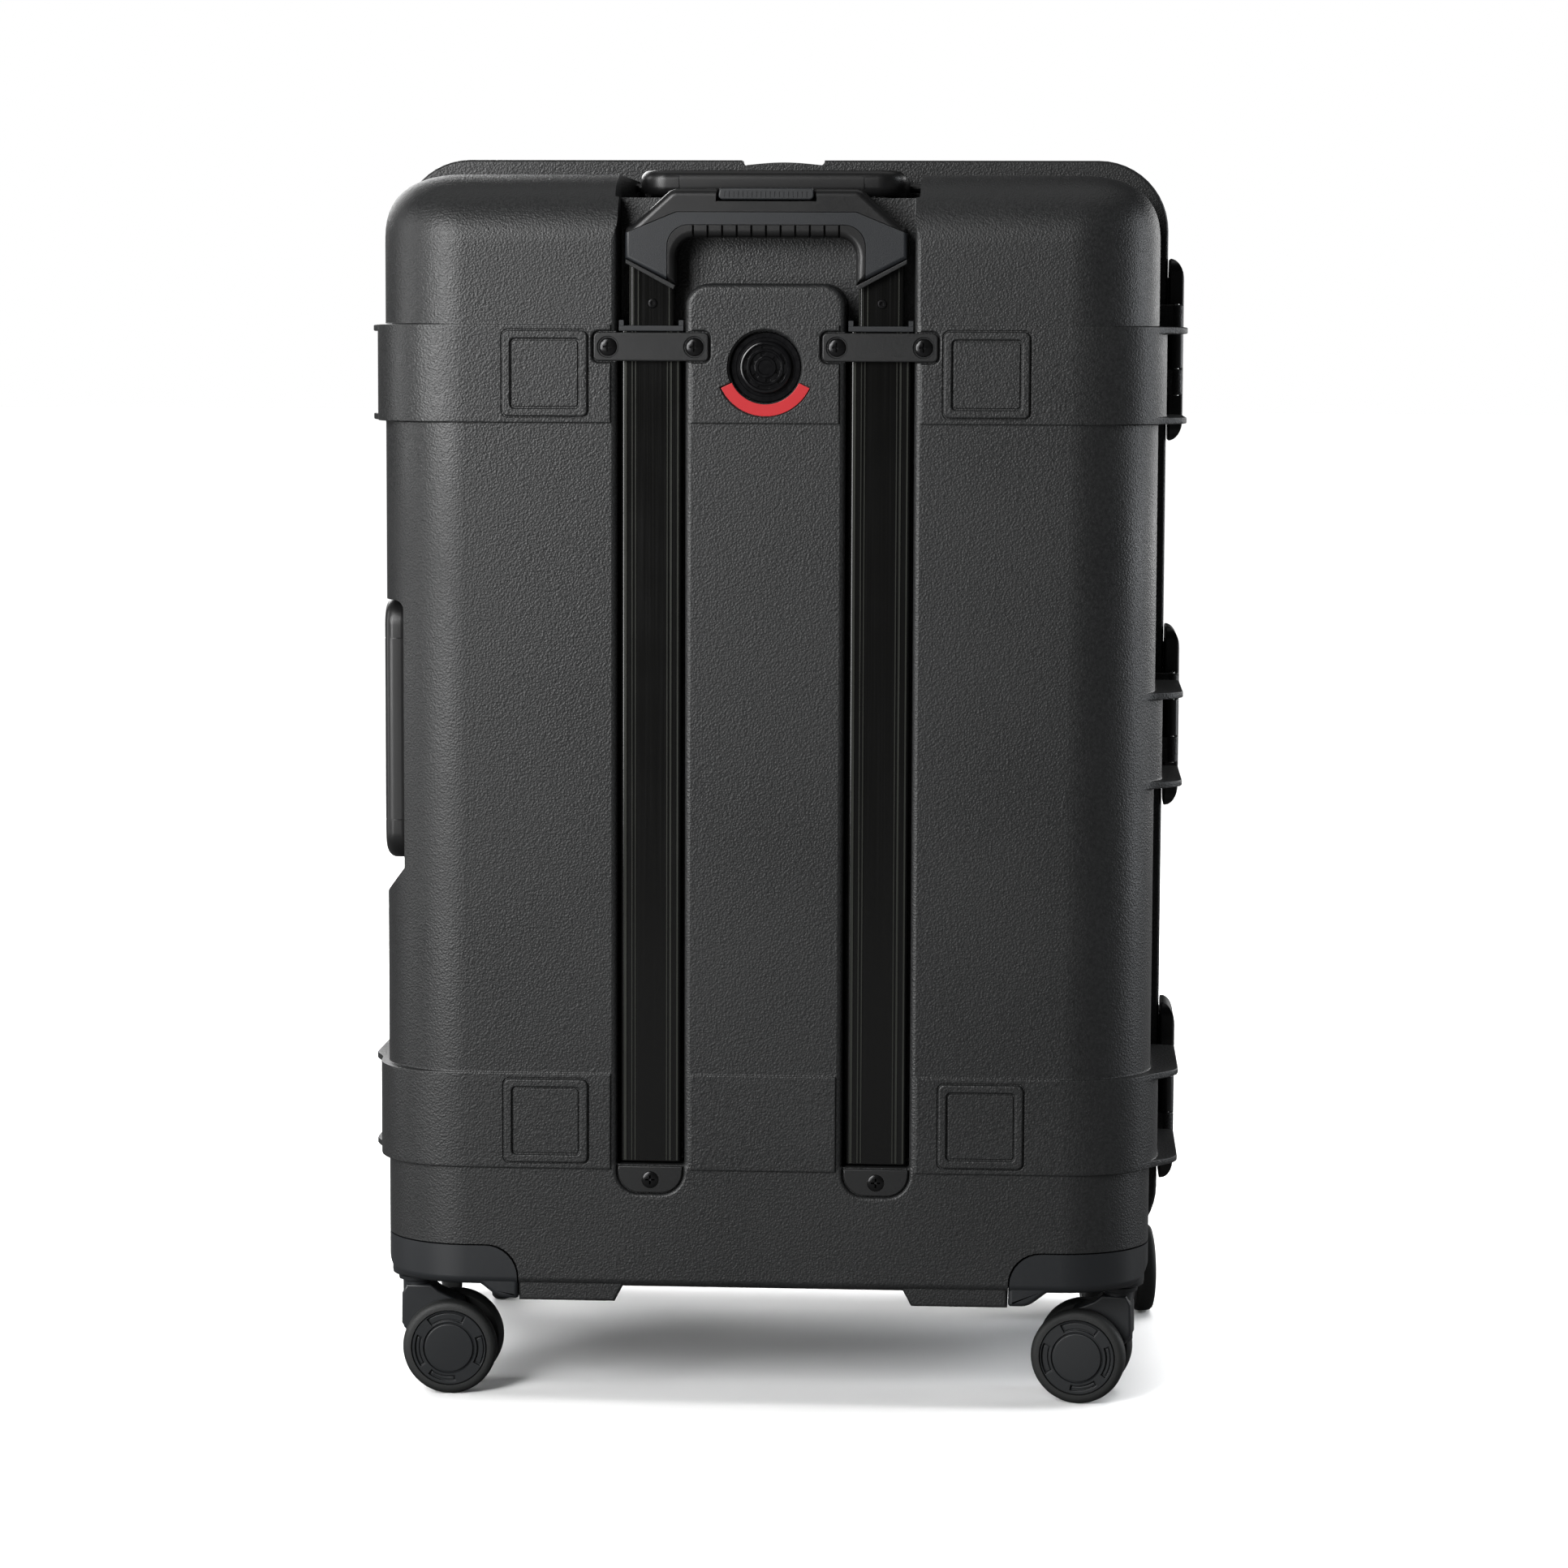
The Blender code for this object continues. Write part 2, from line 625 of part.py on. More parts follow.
# ---------------------------------------------------------------- trolley handle
def tube(name, x, width, depth, wall, face, z_range, finish, radius=0.003):
    """A rectangular tube, open at both ends, whose outer face is at a given Y."""
    low, high = z_range
    outer = rounded_rectangle((x - width / 2, face), (x + width / 2, face + depth), radius, 2)
    inner = rounded_rectangle(
        (x - width / 2 + wall, face + wall), (x + width / 2 - wall, face + depth - wall),
        max(radius - wall, 0.0006), 2)
    obj = part(name, extrusion(outer, low, high, "Z"), finish)
    cut(obj, tool(f"{name} bore", extrusion(inner, low - 0.01, high + 0.01, "Z")))
    return obj


def slider_face():
    """Y of the sliding tubes' face: they run in the middle of the guides."""
    return GUIDE_FACE + (GUIDE_D - SLIDER_D) / 2


def make_trolley():
    for label, side in (("left", -1), ("right", 1)):
        x = side * TUBE_X
        tube(f"guide_tube_{label}", x, GUIDE_W, GUIDE_D, GUIDE_WALL, GUIDE_FACE, GUIDE_Z, "black_aluminium")
        inner_w = GUIDE_W - 2 * GUIDE_WALL - 2 * GAP
        inner_d = GUIDE_D - 2 * GUIDE_WALL - 2 * GAP
        wall = (inner_d - SLIDER_D) / 2 - GAP
        sleeve = part(f"guide_bushing_{label}", extrusion(rounded_rectangle(
            (x - inner_w / 2, GUIDE_FACE + GUIDE_WALL + GAP),
            (x + inner_w / 2, GUIDE_FACE + GUIDE_WALL + GAP + inner_d), 0.0012, 2),
            *BUSHING_Z, "Z"), "trim_plastic")
        bore_face = GUIDE_FACE + GUIDE_WALL + GAP + wall
        cut(sleeve, tool(f"bushing bore {label}", extrusion(rounded_rectangle(
            (x - SLIDER_W / 2 - GAP, bore_face),
            (x + SLIDER_W / 2 + GAP, bore_face + SLIDER_D + 2 * GAP), 0.0026, 2), 0.65, 0.72, "Z")))
        tube(f"slider_tube_{label}", x, SLIDER_W, SLIDER_D, SLIDER_WALL, slider_face(), SLIDER_Z,
             "black_aluminium", 0.0024)
        make_strap(label, side)
        make_foot_plate(label, side)
    make_grip()


def make_screw(name, x, z, seat, finish="dark_steel"):
    """A pan-head screw driven in along +Y, its head on a surface at Y = seat."""
    head = cylinder(SCREW_R, seat - 0.0018, seat - 0.0002, "Y", (x, z), 16)
    screw = part(name, head, finish)
    join(screw, tool(f"{name} shank", cylinder(SHANK_R, seat - 0.001, seat + 0.010, "Y", (x, z), 8)))
    for i, (dx, dz) in enumerate(((0.0031, 0.0006), (0.0006, 0.0030))):
        cut(screw, tool(f"{name} slot {i}", box(
            (x - dx, seat - 0.003, z - dz), (x + dx, seat - 0.0009, z + dz))))
    return screw


def make_strap(label, side):
    x0, x1 = sorted((side * STRAP_X[0], side * STRAP_X[1]))
    outline = rounded_rectangle((x0, STRAP_Z[0]), (x1, STRAP_Z[1]), 0.0035, 3)
    strap = part(f"guide_strap_{label}", extrusion(
        outline, STRAP_FACE, BACK_Y + STRAP_SEAT - GAP), "dark_steel")
    for i, screw_x in enumerate(STRAP_SCREW_X):
        place = ("inner", "outer")[i]
        cut(strap, tool(f"strap hole {label} {place}", cylinder(
            HOLE_R, BACK_Y - 0.01, BACK_Y + 0.01, "Y", (side * screw_x, STRAP_SCREW_Z), 12)))
        make_screw(f"strap_screw_{label}_{place}", side * screw_x, STRAP_SCREW_Z, STRAP_FACE)


def make_foot_plate(label, side):
    x = side * TUBE_X
    top = GROOVE_BOTTOM - 0.0008
    outline = [(x + dx, z) for dx, z in arc((0.0, top), FOOT_PLATE_R, 180, 360, 14)]
    face = BACK_Y + 0.0006
    plate = part(f"guide_foot_{label}", extrusion(outline, face, BACK_Y + 0.0026), "trim_plastic")
    cut(plate, tool(f"foot hole {label}", cylinder(
        HOLE_R, BACK_Y - 0.01, BACK_Y + 0.01, "Y", (x, FOOT_SCREW_Z), 12)))
    make_screw(f"foot_screw_{label}", x, FOOT_SCREW_Z, face)


def grip_outline():
    w, opening = GRIP_HALF_W, GRIP_OPENING_HALF_W
    right = (
        [(0.0575, GRIP_TOP), (w - 0.002, 0.7625), (w, 0.7600), (w, 0.7440), (opening + 0.0005, 0.7270),
         (opening, 0.7275)]
        + arc((opening - 0.012, GRIP_OPENING_TOP - 0.012), 0.012, 0, 90, 4)
    )
    return right + [(-x, z) for x, z in reversed(right)]


def make_grip():
    grip = part("trolley_grip", extrusion(grip_outline(), GRIP_FACE, GRIP_BACK), "soft_grip")
    bevel(grip, 0.0030, 2, 50)
    for side in (-1, 1):
        x = side * TUBE_X
        face = slider_face()
        cut(grip, tool(f"grip socket {side}", box(
            (x - SLIDER_W / 2 - GAP, face - GAP, 0.70),
            (x + SLIDER_W / 2 + GAP, face + SLIDER_D + GAP, SLIDER_Z[1] + GAP))))
    low, high = BUTTON_Z
    cut(grip, tool("button slot", box(
        (-BUTTON_HALF_W - GAP, GRIP_FACE - 0.01, low - BUTTON_TRAVEL - GAP),
        (BUTTON_HALF_W + GAP, GRIP_BACK - 0.0060, high + 0.01))))
    button = part("release_button", box(
        (-BUTTON_HALF_W, GRIP_FACE + 0.0004, low), (BUTTON_HALF_W, GRIP_BACK - 0.0060 - GAP, high)),
        "trim_plastic")
    bevel(button, 0.0012, 2)


# ---------------------------------------------------------------- valve
def make_valve():
    flange_y = BACK_Y + 0.0038
    body = part("valve_body", cylinder(
        VALVE_RECESS_R - GAP, flange_y, BACK_Y + VALVE_RECESS_DEPTH - GAP, "Y", (0, VALVE_Z), 28),
        "gloss_plastic")
    join(body, tool("valve shank", cylinder(
        VALVE_SHANK_R, BACK_Y + 0.005, BACK_Y + 0.0160, "Y", (0, VALVE_Z), 20)))
    cap = part("valve_cap", cylinder(
        VALVE_CAP_R, BACK_Y + 0.0002, flange_y - GAP, "Y", (0, VALVE_Z), 28), "gloss_plastic")
    ring = cylinder(0.0104, BACK_Y - 0.01, BACK_Y + 0.0012, "Y", (0, VALVE_Z), 20)
    hub = cylinder(0.0056, BACK_Y - 0.02, BACK_Y + 0.02, "Y", (0, VALVE_Z), 16)
    groove = tool("valve cap groove", ring)
    cut(groove, tool("valve cap hub", hub))
    cut(cap, groove)
    part("valve_badge", extrusion(
        badge_outline(0.0), BACK_Y - 0.0003, BACK_Y + 0.0008 - GAP), "red_label")


# ---------------------------------------------------------------- casters
def caster_place(label):
    """Kingpin position of a caster."""
    x = -CASTER_X if label.endswith("left") else CASTER_X
    y = BACK_Y + CASTER_INSET if label.startswith("back") else FRONT_Y - CASTER_INSET
    return x, y


def make_housing(label):
    side = -1 if label.startswith("back") else 1
    x_side = -1 if label.endswith("left") else 1
    face = BACK_Y if side < 0 else FRONT_Y
    low, high = sorted((face + side * 0.01, face - side * HOUSING_DEPTH))
    outline = [(x_side * x, z) for x, z in housing_outline(0.0)]
    housing = part(f"caster_housing_{label}", extrusion(outline, low, high), "trim_plastic")
    boolean(housing, tool(f"{label} housing limits", half_body(0.0, side)), "INTERSECT")
    x, y = caster_place(label)
    join(housing, tool(f"{label} collar", cylinder(COLLAR_R, COLLAR_Z, 0.0950, "Z", (x, y), 20)))
    cut(housing, tool(f"{label} kingpin bore", cylinder(
        KINGPIN_R + GAP, 0.06, 0.0920, "Z", (x, y), 16)))


def turned(bm, label):
    """Places a caster piece, drawn with its kingpin on the Z axis and its wheels trailing along +X."""
    x, y = caster_place(label)
    turn = Matrix.Rotation(math.radians(CASTER_TRAILS[label]), 4, "Z")
    bmesh.ops.transform(bm, matrix=Matrix.Translation((x, y, 0.0)) @ turn, verts=bm.verts[:])
    return bm


def make_caster(label):
    half = WHEEL_INNER - 0.0006
    body = [(-0.0105, 0.0700), (-0.0115, 0.0500), (-0.0040, 0.0330)]
    body += arc((TRAIL, WHEEL_R), 0.0140, 215, 395, 8)
    body += [(TRAIL + 0.0040, 0.0560), (0.0135, 0.0640), (0.0110, 0.0700)]
    fork = part(f"caster_fork_{label}", turned(extrusion(body, -half, half), label), "trim_plastic")
    join(fork, tool(f"{label} fork cap", turned(
        cylinder(0.0128, 0.0640, COLLAR_Z - GAP, "Z", (0, 0), 20), label)))
    join(fork, tool(f"{label} kingpin", turned(
        cylinder(KINGPIN_R, 0.0700, 0.0916, "Z", (0, 0), 16), label)))
    cut(fork, tool(f"{label} fork bore", turned(
        cylinder(AXLE_R + GAP, -0.03, 0.03, "Y", (TRAIL, WHEEL_R), 12), label)))
    reach = WHEEL_INNER + WHEEL_W - 0.0030
    part(f"caster_axle_{label}", turned(
        cylinder(AXLE_R, -reach, reach, "Y", (TRAIL, WHEEL_R), 12), label), "bright_steel")
    for name, side in (("outer", -1), ("inner", 1)):
        make_wheel(f"caster_wheel_{label}_{name}", label, side)


def make_wheel(name, label, side):
    near, far = WHEEL_INNER, WHEEL_INNER + WHEEL_W
    lower, upper = sorted((side * near, side * far))
    wheel = part(name, turned(cylinder(
        WHEEL_R, lower, upper, "Y", (TRAIL, WHEEL_R), 32), label), "wheel_rubber")
    bevel(wheel, 0.0022, 2)
    lower, upper = sorted((side * (near - 0.01), side * (far - 0.0022)))
    cut(wheel, tool(f"{name} bore", turned(cylinder(
        AXLE_R + GAP, lower, upper, "Y", (TRAIL, WHEEL_R), 12), label)))


# ---------------------------------------------------------------- carry handles
def handle_plan():
    """Outline of a handle lying flat: length on the first axis, distance from the pivot on the second."""
    half, reach = HANDLE_HALF_L, HANDLE_REACH
    end = -HANDLE_T / 2
    inner = half - HANDLE_ARM_W
    bar = reach - HANDLE_BAR_W
    right = [(half, end), *arc((half - 0.014, reach - 0.014), 0.014, 0, 90, 3)]
    hollow = [*arc((inner - 0.010, bar - 0.010), 0.010, 90, 0, 3), (inner, end)]
    return (
        right + [(-a, b) for a, b in reversed(right)]
        + [(-a, b) for a, b in reversed(hollow)] + hollow
    )


def make_handle(name, place):
    """A carry handle, and its rod. Place takes a point drawn flat to its spot on the case."""
    bm = extrusion(handle_plan(), -HANDLE_T / 2, HANDLE_T / 2, "Z")
    bmesh.ops.transform(bm, matrix=place, verts=bm.verts[:])
    handle = part(name, bm, "trim_plastic")
    bevel(handle, 0.0040, 2, 50)
    bore = cylinder(HANDLE_PIN_R + GAP, -0.12, 0.12, "X", (0, 0), 12)
    bmesh.ops.transform(bore, matrix=place, verts=bore.verts[:])
    cut(handle, tool(f"{name} bore", bore))


def make_handles():
    # flat drawing: +X along the handle, +Y away from the pivot, +Z out of the case
    top = Matrix.Translation((0.0, HANDLE_PIVOT_Y, handle_middle(TOP_Z))) @ Matrix.Rotation(math.pi, 4, "Z")
    make_handle("top_handle", top)
    reach = POCKET_HALF_L + 0.0028
    part("top_handle_rod", cylinder(
        HANDLE_PIN_R, -reach, reach, "X", (HANDLE_PIVOT_Y, handle_middle(TOP_Z)), 12), "dark_steel")
    x = -handle_middle(HALF_W)
    basis = Matrix(((0, 0, -1, x), (0, -1, 0, HANDLE_PIVOT_Y), (-1, 0, 0, SIDE_HANDLE_Z), (0, 0, 0, 1)))
    make_handle("side_handle", basis)
    reach = HANDLE_HALF_L + 0.0036
    part("side_handle_rod", cylinder(
        HANDLE_PIN_R, SIDE_HANDLE_Z - reach, SIDE_HANDLE_Z + reach, "Z", (x, HANDLE_PIVOT_Y), 12),
        "dark_steel")


# ---------------------------------------------------------------- hinges and latches
def make_hinges():
    third = HINGE_H / 3
    for label, z in zip(("upper", "lower"), hinge_zs()):
        bottom = z - HINGE_H / 2
        spans = {
            "back": [(bottom, bottom + third - GAP), (bottom + 2 * third + GAP, bottom + HINGE_H)],
            "lid": [(bottom + third, bottom + 2 * third)],
        }
        for half, side in (("back", -1), ("lid", 1)):
            near, far = sorted((side * 0.0008, side * HINGE_LEAF_REACH))
            leaf = part(f"hinge_leaf_{half}_{label}", box(
                (-0.2598, near, bottom), (-BAND_HALF_W + 0.0010 - GAP, far, bottom + HINGE_H)), "dark_steel")
            for i, (low, high) in enumerate(spans[half]):
                join(leaf, tool(f"{half} {label} knuckle {i}", cylinder(
                    KNUCKLE_R, low, high, "Z", (HINGE_AXIS_X, 0.0), 14)))
                y0, y1 = sorted((side * 0.0009, side * 0.0044))
                join(leaf, tool(f"{half} {label} web {i}", box(
                    (HINGE_AXIS_X, y0, low), (-0.2585, y1, high))))
            cut(leaf, tool(f"{half} {label} pin bore", cylinder(
                HINGE_PIN_R + GAP, bottom - 0.01, bottom + HINGE_H + 0.01, "Z", (HINGE_AXIS_X, 0.0), 12)))
        part(f"hinge_pin_{label}", cylinder(
            HINGE_PIN_R, bottom - 0.0006, bottom + HINGE_H + 0.0006, "Z", (HINGE_AXIS_X, 0.0), 12),
            "bright_steel")


def make_latches():
    lip_near = FLANGE_Y + 0.0008
    for label, z in LATCH_ZS.items():
        low, high = z - LATCH_HALF_H, z + LATCH_HALF_H
        section = [
            (LATCH_INNER_X, -0.0180), (LATCH_OUTER_X - 0.0015, -0.0180), (LATCH_OUTER_X, -0.0160),
            (LATCH_OUTER_X, LATCH_FREE_Y - 0.003), (LATCH_OUTER_X - 0.003, LATCH_FREE_Y),
            (LATCH_INNER_X + 0.0006, LATCH_FREE_Y), (LATCH_INNER_X, lip_near + 0.0060),
            (LATCH_LIP_X, lip_near + 0.0045), (LATCH_LIP_X, lip_near), (LATCH_INNER_X, lip_near),
        ]
        lever = part(f"latch_{label}", extrusion(section, low, high, "Z"), "trim_plastic")
        lug = LATCH_LUG_Z[0] - GAP
        join(lever, tool(f"{label} lever knuckle", cylinder(
            KNUCKLE_R, z - lug, z + lug, "Z", (LATCH_AXIS_X, LATCH_AXIS_Y), 14)))
        join(lever, tool(f"{label} lever tongue", box(
            (LATCH_AXIS_X - 0.0008, LATCH_AXIS_Y, z - lug), (LATCH_AXIS_X + 0.0040, -0.0170, z + lug))))
        cut(lever, tool(f"{label} lever bore", cylinder(
            LATCH_PIN_R + GAP, z - 0.032, z + 0.032, "Z", (LATCH_AXIS_X, LATCH_AXIS_Y), 10)))
        reach = LATCH_LUG_Z[1] + 0.0006
        part(f"latch_pin_{label}", cylinder(
            LATCH_PIN_R, z - reach, z + reach, "Z", (LATCH_AXIS_X, LATCH_AXIS_Y), 10), "bright_steel")


def hang(name, point, *nodes, parent=None):
    """An empty on a joint's axis that carries the pieces moving with it."""
    pivot = bpy.data.objects.new(name, None)
    PARTS.objects.link(pivot)
    pivot.location = point
    pivot.parent = parent
    if parent:
        pivot.matrix_parent_inverse = Matrix.Translation(-PIVOTS[parent.name])
    PIVOTS[name] = Vector(point)
    for node in nodes:
        child = PARTS.objects[node]
        child.parent = pivot
        child.matrix_parent_inverse = Matrix.Translation(-Vector(point))
    return pivot


def hang_everything():
    lid = hang(
        "lid_pivot", (HINGE_AXIS_X, 0.0, 0.44), "front_shell", "lid_seal", "hinge_leaf_lid_upper",
        "hinge_leaf_lid_lower", "caster_housing_front_left", "caster_housing_front_right")
    for label, z in LATCH_ZS.items():
        hang(f"latch_{label}_pivot", (LATCH_AXIS_X, LATCH_AXIS_Y, z), f"latch_{label}")
    hang("top_handle_pivot", (0.0, HANDLE_PIVOT_Y, handle_middle(TOP_Z)), "top_handle")
    hang("side_handle_pivot", (-handle_middle(HALF_W), HANDLE_PIVOT_Y, SIDE_HANDLE_Z), "side_handle")
    trolley = hang(
        "trolley_pivot", (0.0, slider_face(), SLIDER_Z[0]), "slider_tube_left", "slider_tube_right",
        "trolley_grip")
    hang("button_pivot", (0.0, GRIP_FACE, BUTTON_Z[0]), "release_button", parent=trolley)
    for label, trail in CASTER_TRAILS.items():
        x, y = caster_place(label)
        swivel = hang(
            f"{label}_swivel_pivot", (x, y, COLLAR_Z), f"caster_fork_{label}", f"caster_axle_{label}",
            parent=lid if label.startswith("front") else None)
        angle = math.radians(trail)
        axle = (x + TRAIL * math.cos(angle), y + TRAIL * math.sin(angle), WHEEL_R)
        hang(f"{label}_axle_pivot", axle, f"caster_wheel_{label}_outer", f"caster_wheel_{label}_inner",
             parent=swivel)


clear_scene()
PIVOTS = {}
PARTS = collection("equipment_case")
TOOLS = collection("cutters")
make_back_shell()
make_lid()
part("lid_seal", ring_of(0.0013, 0.0002, 0.0026), "seal_rubber")
make_trolley()
make_valve()
for corner in CASTER_TRAILS:
    make_housing(corner)
    make_caster(corner)
make_handles()
make_hinges()
make_latches()
hang_everything()
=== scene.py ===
"""The looks of a tall wheeled equipment case, on the frame that the CAD model sets.

Metres, +Z up. The back of the case, with the trolley handle, faces -Y and the lid faces +Y.
"""

import json
import math
from itertools import product

import bmesh
import bpy
import numpy as np
from mathutils import Matrix, Vector


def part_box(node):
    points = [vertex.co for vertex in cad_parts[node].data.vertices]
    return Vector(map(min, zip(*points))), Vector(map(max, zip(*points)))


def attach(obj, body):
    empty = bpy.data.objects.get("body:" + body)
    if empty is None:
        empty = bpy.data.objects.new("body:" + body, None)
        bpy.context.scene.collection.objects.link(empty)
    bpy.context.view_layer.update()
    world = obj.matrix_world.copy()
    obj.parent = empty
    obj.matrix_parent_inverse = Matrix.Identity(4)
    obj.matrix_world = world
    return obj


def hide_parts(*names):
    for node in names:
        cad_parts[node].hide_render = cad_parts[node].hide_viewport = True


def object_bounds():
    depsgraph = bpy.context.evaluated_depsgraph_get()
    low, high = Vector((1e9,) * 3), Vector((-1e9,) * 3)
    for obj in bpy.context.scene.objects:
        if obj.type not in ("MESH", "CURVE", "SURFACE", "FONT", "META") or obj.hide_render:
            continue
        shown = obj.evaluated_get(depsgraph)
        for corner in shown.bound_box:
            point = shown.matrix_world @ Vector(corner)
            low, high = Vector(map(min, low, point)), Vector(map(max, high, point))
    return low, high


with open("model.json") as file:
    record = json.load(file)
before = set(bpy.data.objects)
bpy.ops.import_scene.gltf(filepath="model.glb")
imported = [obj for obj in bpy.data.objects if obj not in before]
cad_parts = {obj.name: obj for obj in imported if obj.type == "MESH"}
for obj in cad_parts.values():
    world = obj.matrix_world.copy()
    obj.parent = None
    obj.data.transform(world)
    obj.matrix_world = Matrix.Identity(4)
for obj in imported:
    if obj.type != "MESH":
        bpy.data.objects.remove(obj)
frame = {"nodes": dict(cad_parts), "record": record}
CAD_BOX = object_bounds()
JOINTS = {joint["name"]: joint for joint in frame["record"]["behaviour"]["joints"]}



def centre_of(node_name):
    low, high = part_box(node_name)
    return [(a + b) / 2 for a, b in zip(low, high)]


# ---------------------------------------------------------------- the case's own sizes, from the frame
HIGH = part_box("back_shell")[1]
BACK_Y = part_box("valve_cap")[0][1] - 0.0002
FRONT_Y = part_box("caster_housing_front_left")[1][1] - 0.0019
HALF_W = 0.2510
FLANGE_HALF_W = 0.2592
FLANGE_TOP = HIGH[2]
FLANGE_BOTTOM = 0.0695
FLANGE_Y = 0.0120
FLANGE_R = 0.047
TOP_Z = FLANGE_TOP - 0.0145
BOTTOM_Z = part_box("caster_housing_back_left")[0][2] + 0.0015
WALL = 0.0040
PARTING = 0.0005
CORNER = Vector((0.058, 0.054, 0.045))   # how far the rounding reaches along X, Y and Z
CORNER_POWER = 2.7
BOTTOM_R = 0.0060                        # fillet round the underside

RIB_HALF_W = CAD_BOX[1][0] - 0.0006
LEFT_RIB_HALF_W = 0.2638
RIB_H = 0.0048
BAND_H = 0.0626
BAND_HALF_W = 0.2562
BAND_FACE = 0.0014                       # how far a band stands out of the flat faces
BAND_GROOVE = 0.0009                     # depth of the line along its edges
BAND_LOWS = (0.6394, 0.1562)
LATCH_BAND_LOW = 0.4040
LATCH_ROOM = (0.0345, 0.0385)            # where the ribs fade out towards the latches, along Y
HINGE_ROOM = (0.0500, 0.0560)            # and towards the hinges
RIB_FADE_LINES = (0.0335, 0.105, 0.110, 0.115, 0.120, 0.125, 0.129)
HINGE_BAND_OUT = 0.0044                  # how far a band stands out beside a hinge

TUBE_X = centre_of("guide_tube_right")[0]
GROOVE_X = (0.0512, 0.0949)
GROOVE_EDGES = (GROOVE_X[0] - 0.0040, GROOVE_X[1] + 0.0040)   # where the bands end beside a groove
GROOVE_FLOOR = BACK_Y + 0.0260
GROOVE_BOTTOM = 0.1590
PANEL_TOP = 0.7280
PANEL_R = 0.0150
VALVE_Z = centre_of("valve_cap")[2]
STRAP_X = [corner[0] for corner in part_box("guide_strap_right")]
STRAP_Z = [corner[2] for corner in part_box("guide_strap_right")]
FOOT_R = 0.0208


# ---------------------------------------------------------------- mesh helpers
def new_object(name, mesh):
    obj = bpy.data.objects.new(name, mesh)
    bpy.context.scene.collection.objects.link(obj)
    return obj


def build(name, points, faces):
    mesh = bpy.data.meshes.new(name)
    mesh.from_pydata([tuple(p) for p in points], [], [tuple(f) for f in faces])
    bm = bmesh.new()
    bm.from_mesh(mesh)
    bmesh.ops.remove_doubles(bm, verts=bm.verts[:], dist=1e-7)
    bmesh.ops.dissolve_degenerate(bm, edges=bm.edges[:], dist=1e-7)
    bmesh.ops.recalc_face_normals(bm, faces=bm.faces[:])
    bm.to_mesh(mesh)
    bm.free()
    return new_object(name, mesh)


def loft(name, rings):
    """A closed skin through rings of equally many points, with flat ends."""
    count = len(rings[0])
    points = [p for ring in rings for p in ring]
    faces = [list(range(count))[::-1], [(len(rings) - 1) * count + i for i in range(count)]]
    for r in range(len(rings) - 1):
        for i in range(count):
            j = (i + 1) % count
            faces.append((r * count + i, r * count + j, (r + 1) * count + j, (r + 1) * count + i))
    return build(name, points, faces)


def arc(centre, radius, start, end, steps):
    """Points on an arc, angles in degrees."""
    angles = np.radians(np.linspace(start, end, steps + 1))
    return [(centre[0] + radius * math.cos(a), centre[1] + radius * math.sin(a)) for a in angles]


def rounded_rectangle(low, high, radius, steps=6):
    (x0, y0), (x1, y1) = low, high
    return (
        arc((x1 - radius, y0 + radius), radius, -90, 0, steps)
        + arc((x1 - radius, y1 - radius), radius, 0, 90, steps)
        + arc((x0 + radius, y1 - radius), radius, 90, 180, steps)
        + arc((x0 + radius, y0 + radius), radius, 180, 270, steps)
    )


def signed_area(outline):
    pts = np.array(outline)
    after = np.roll(pts, -1, axis=0)
    return float(np.sum(pts[:, 0] * after[:, 1] - after[:, 0] * pts[:, 1])) / 2


def grown(outline, distance):
    """An outline moved outwards, along the normals of its corners."""
    pts = np.array(outline, dtype=float)
    if signed_area(outline) < 0:
        distance = -distance
    before = pts - np.roll(pts, 1, axis=0)
    after = np.roll(pts, -1, axis=0) - pts
    before /= np.maximum(np.linalg.norm(before, axis=1, keepdims=True), 1e-12)
    after /= np.maximum(np.linalg.norm(after, axis=1, keepdims=True), 1e-12)
    normal_a = np.stack([before[:, 1], -before[:, 0]], axis=1)
    normal_b = np.stack([after[:, 1], -after[:, 0]], axis=1)
    middle = normal_a + normal_b
    middle /= np.maximum(np.linalg.norm(middle, axis=1, keepdims=True), 1e-9)
    stretch = 1.0 / np.clip(np.sum(middle * normal_a, axis=1, keepdims=True), 0.5, 1.0)
    return [tuple(p) for p in pts + middle * stretch * distance]


PLACE = {
    "X": lambda a, b, h: (h, a, b),
    "Y": lambda a, b, h: (a, h, b),
    "Z": lambda a, b, h: (a, b, h),
}


def layered(name, outline, axis, layers):
    """A solid through copies of an outline, each (height, growth)."""
    rings = [[PLACE[axis](a, b, h) for a, b in grown(outline, g)] for h, g in layers]
    return loft(name, rings)


def quarter(radius, steps=4):
    """(along, out) of a quarter round, from the flat end to the full width."""
    return [(radius * (1 - math.cos(t)), radius * (math.sin(t) - 1))
            for t in np.linspace(0, math.pi / 2, steps + 1)]


def slab(name, outline, axis, low, high, low_edge=0.0005, high_edge=0.0005, steps=3):
    """An outline extruded from low to high, with rounded rims."""
    layers = [(low + along, out) for along, out in quarter(low_edge, steps)]
    layers += [(high - along, out) for along, out in reversed(quarter(high_edge, steps))]
    return layered(name, outline, axis, layers)


def flared(name, outline, axis, floor, face, outside, rim=0.002, foot=0.001, steps=4):
    """A cutter for a pocket whose rim and floor edges are rounded. Outside is beyond the face."""
    way = 1 if face > floor else -1
    layers = [(floor + way * along, out) for along, out in quarter(foot, steps)]
    for t in np.linspace(0, math.pi / 2, steps + 1):
        layers.append((face - way * rim * (1 - math.sin(t)), rim * (1 - math.cos(t))))
    layers.append((outside, rim))
    return layered(name, outline, axis, layers)


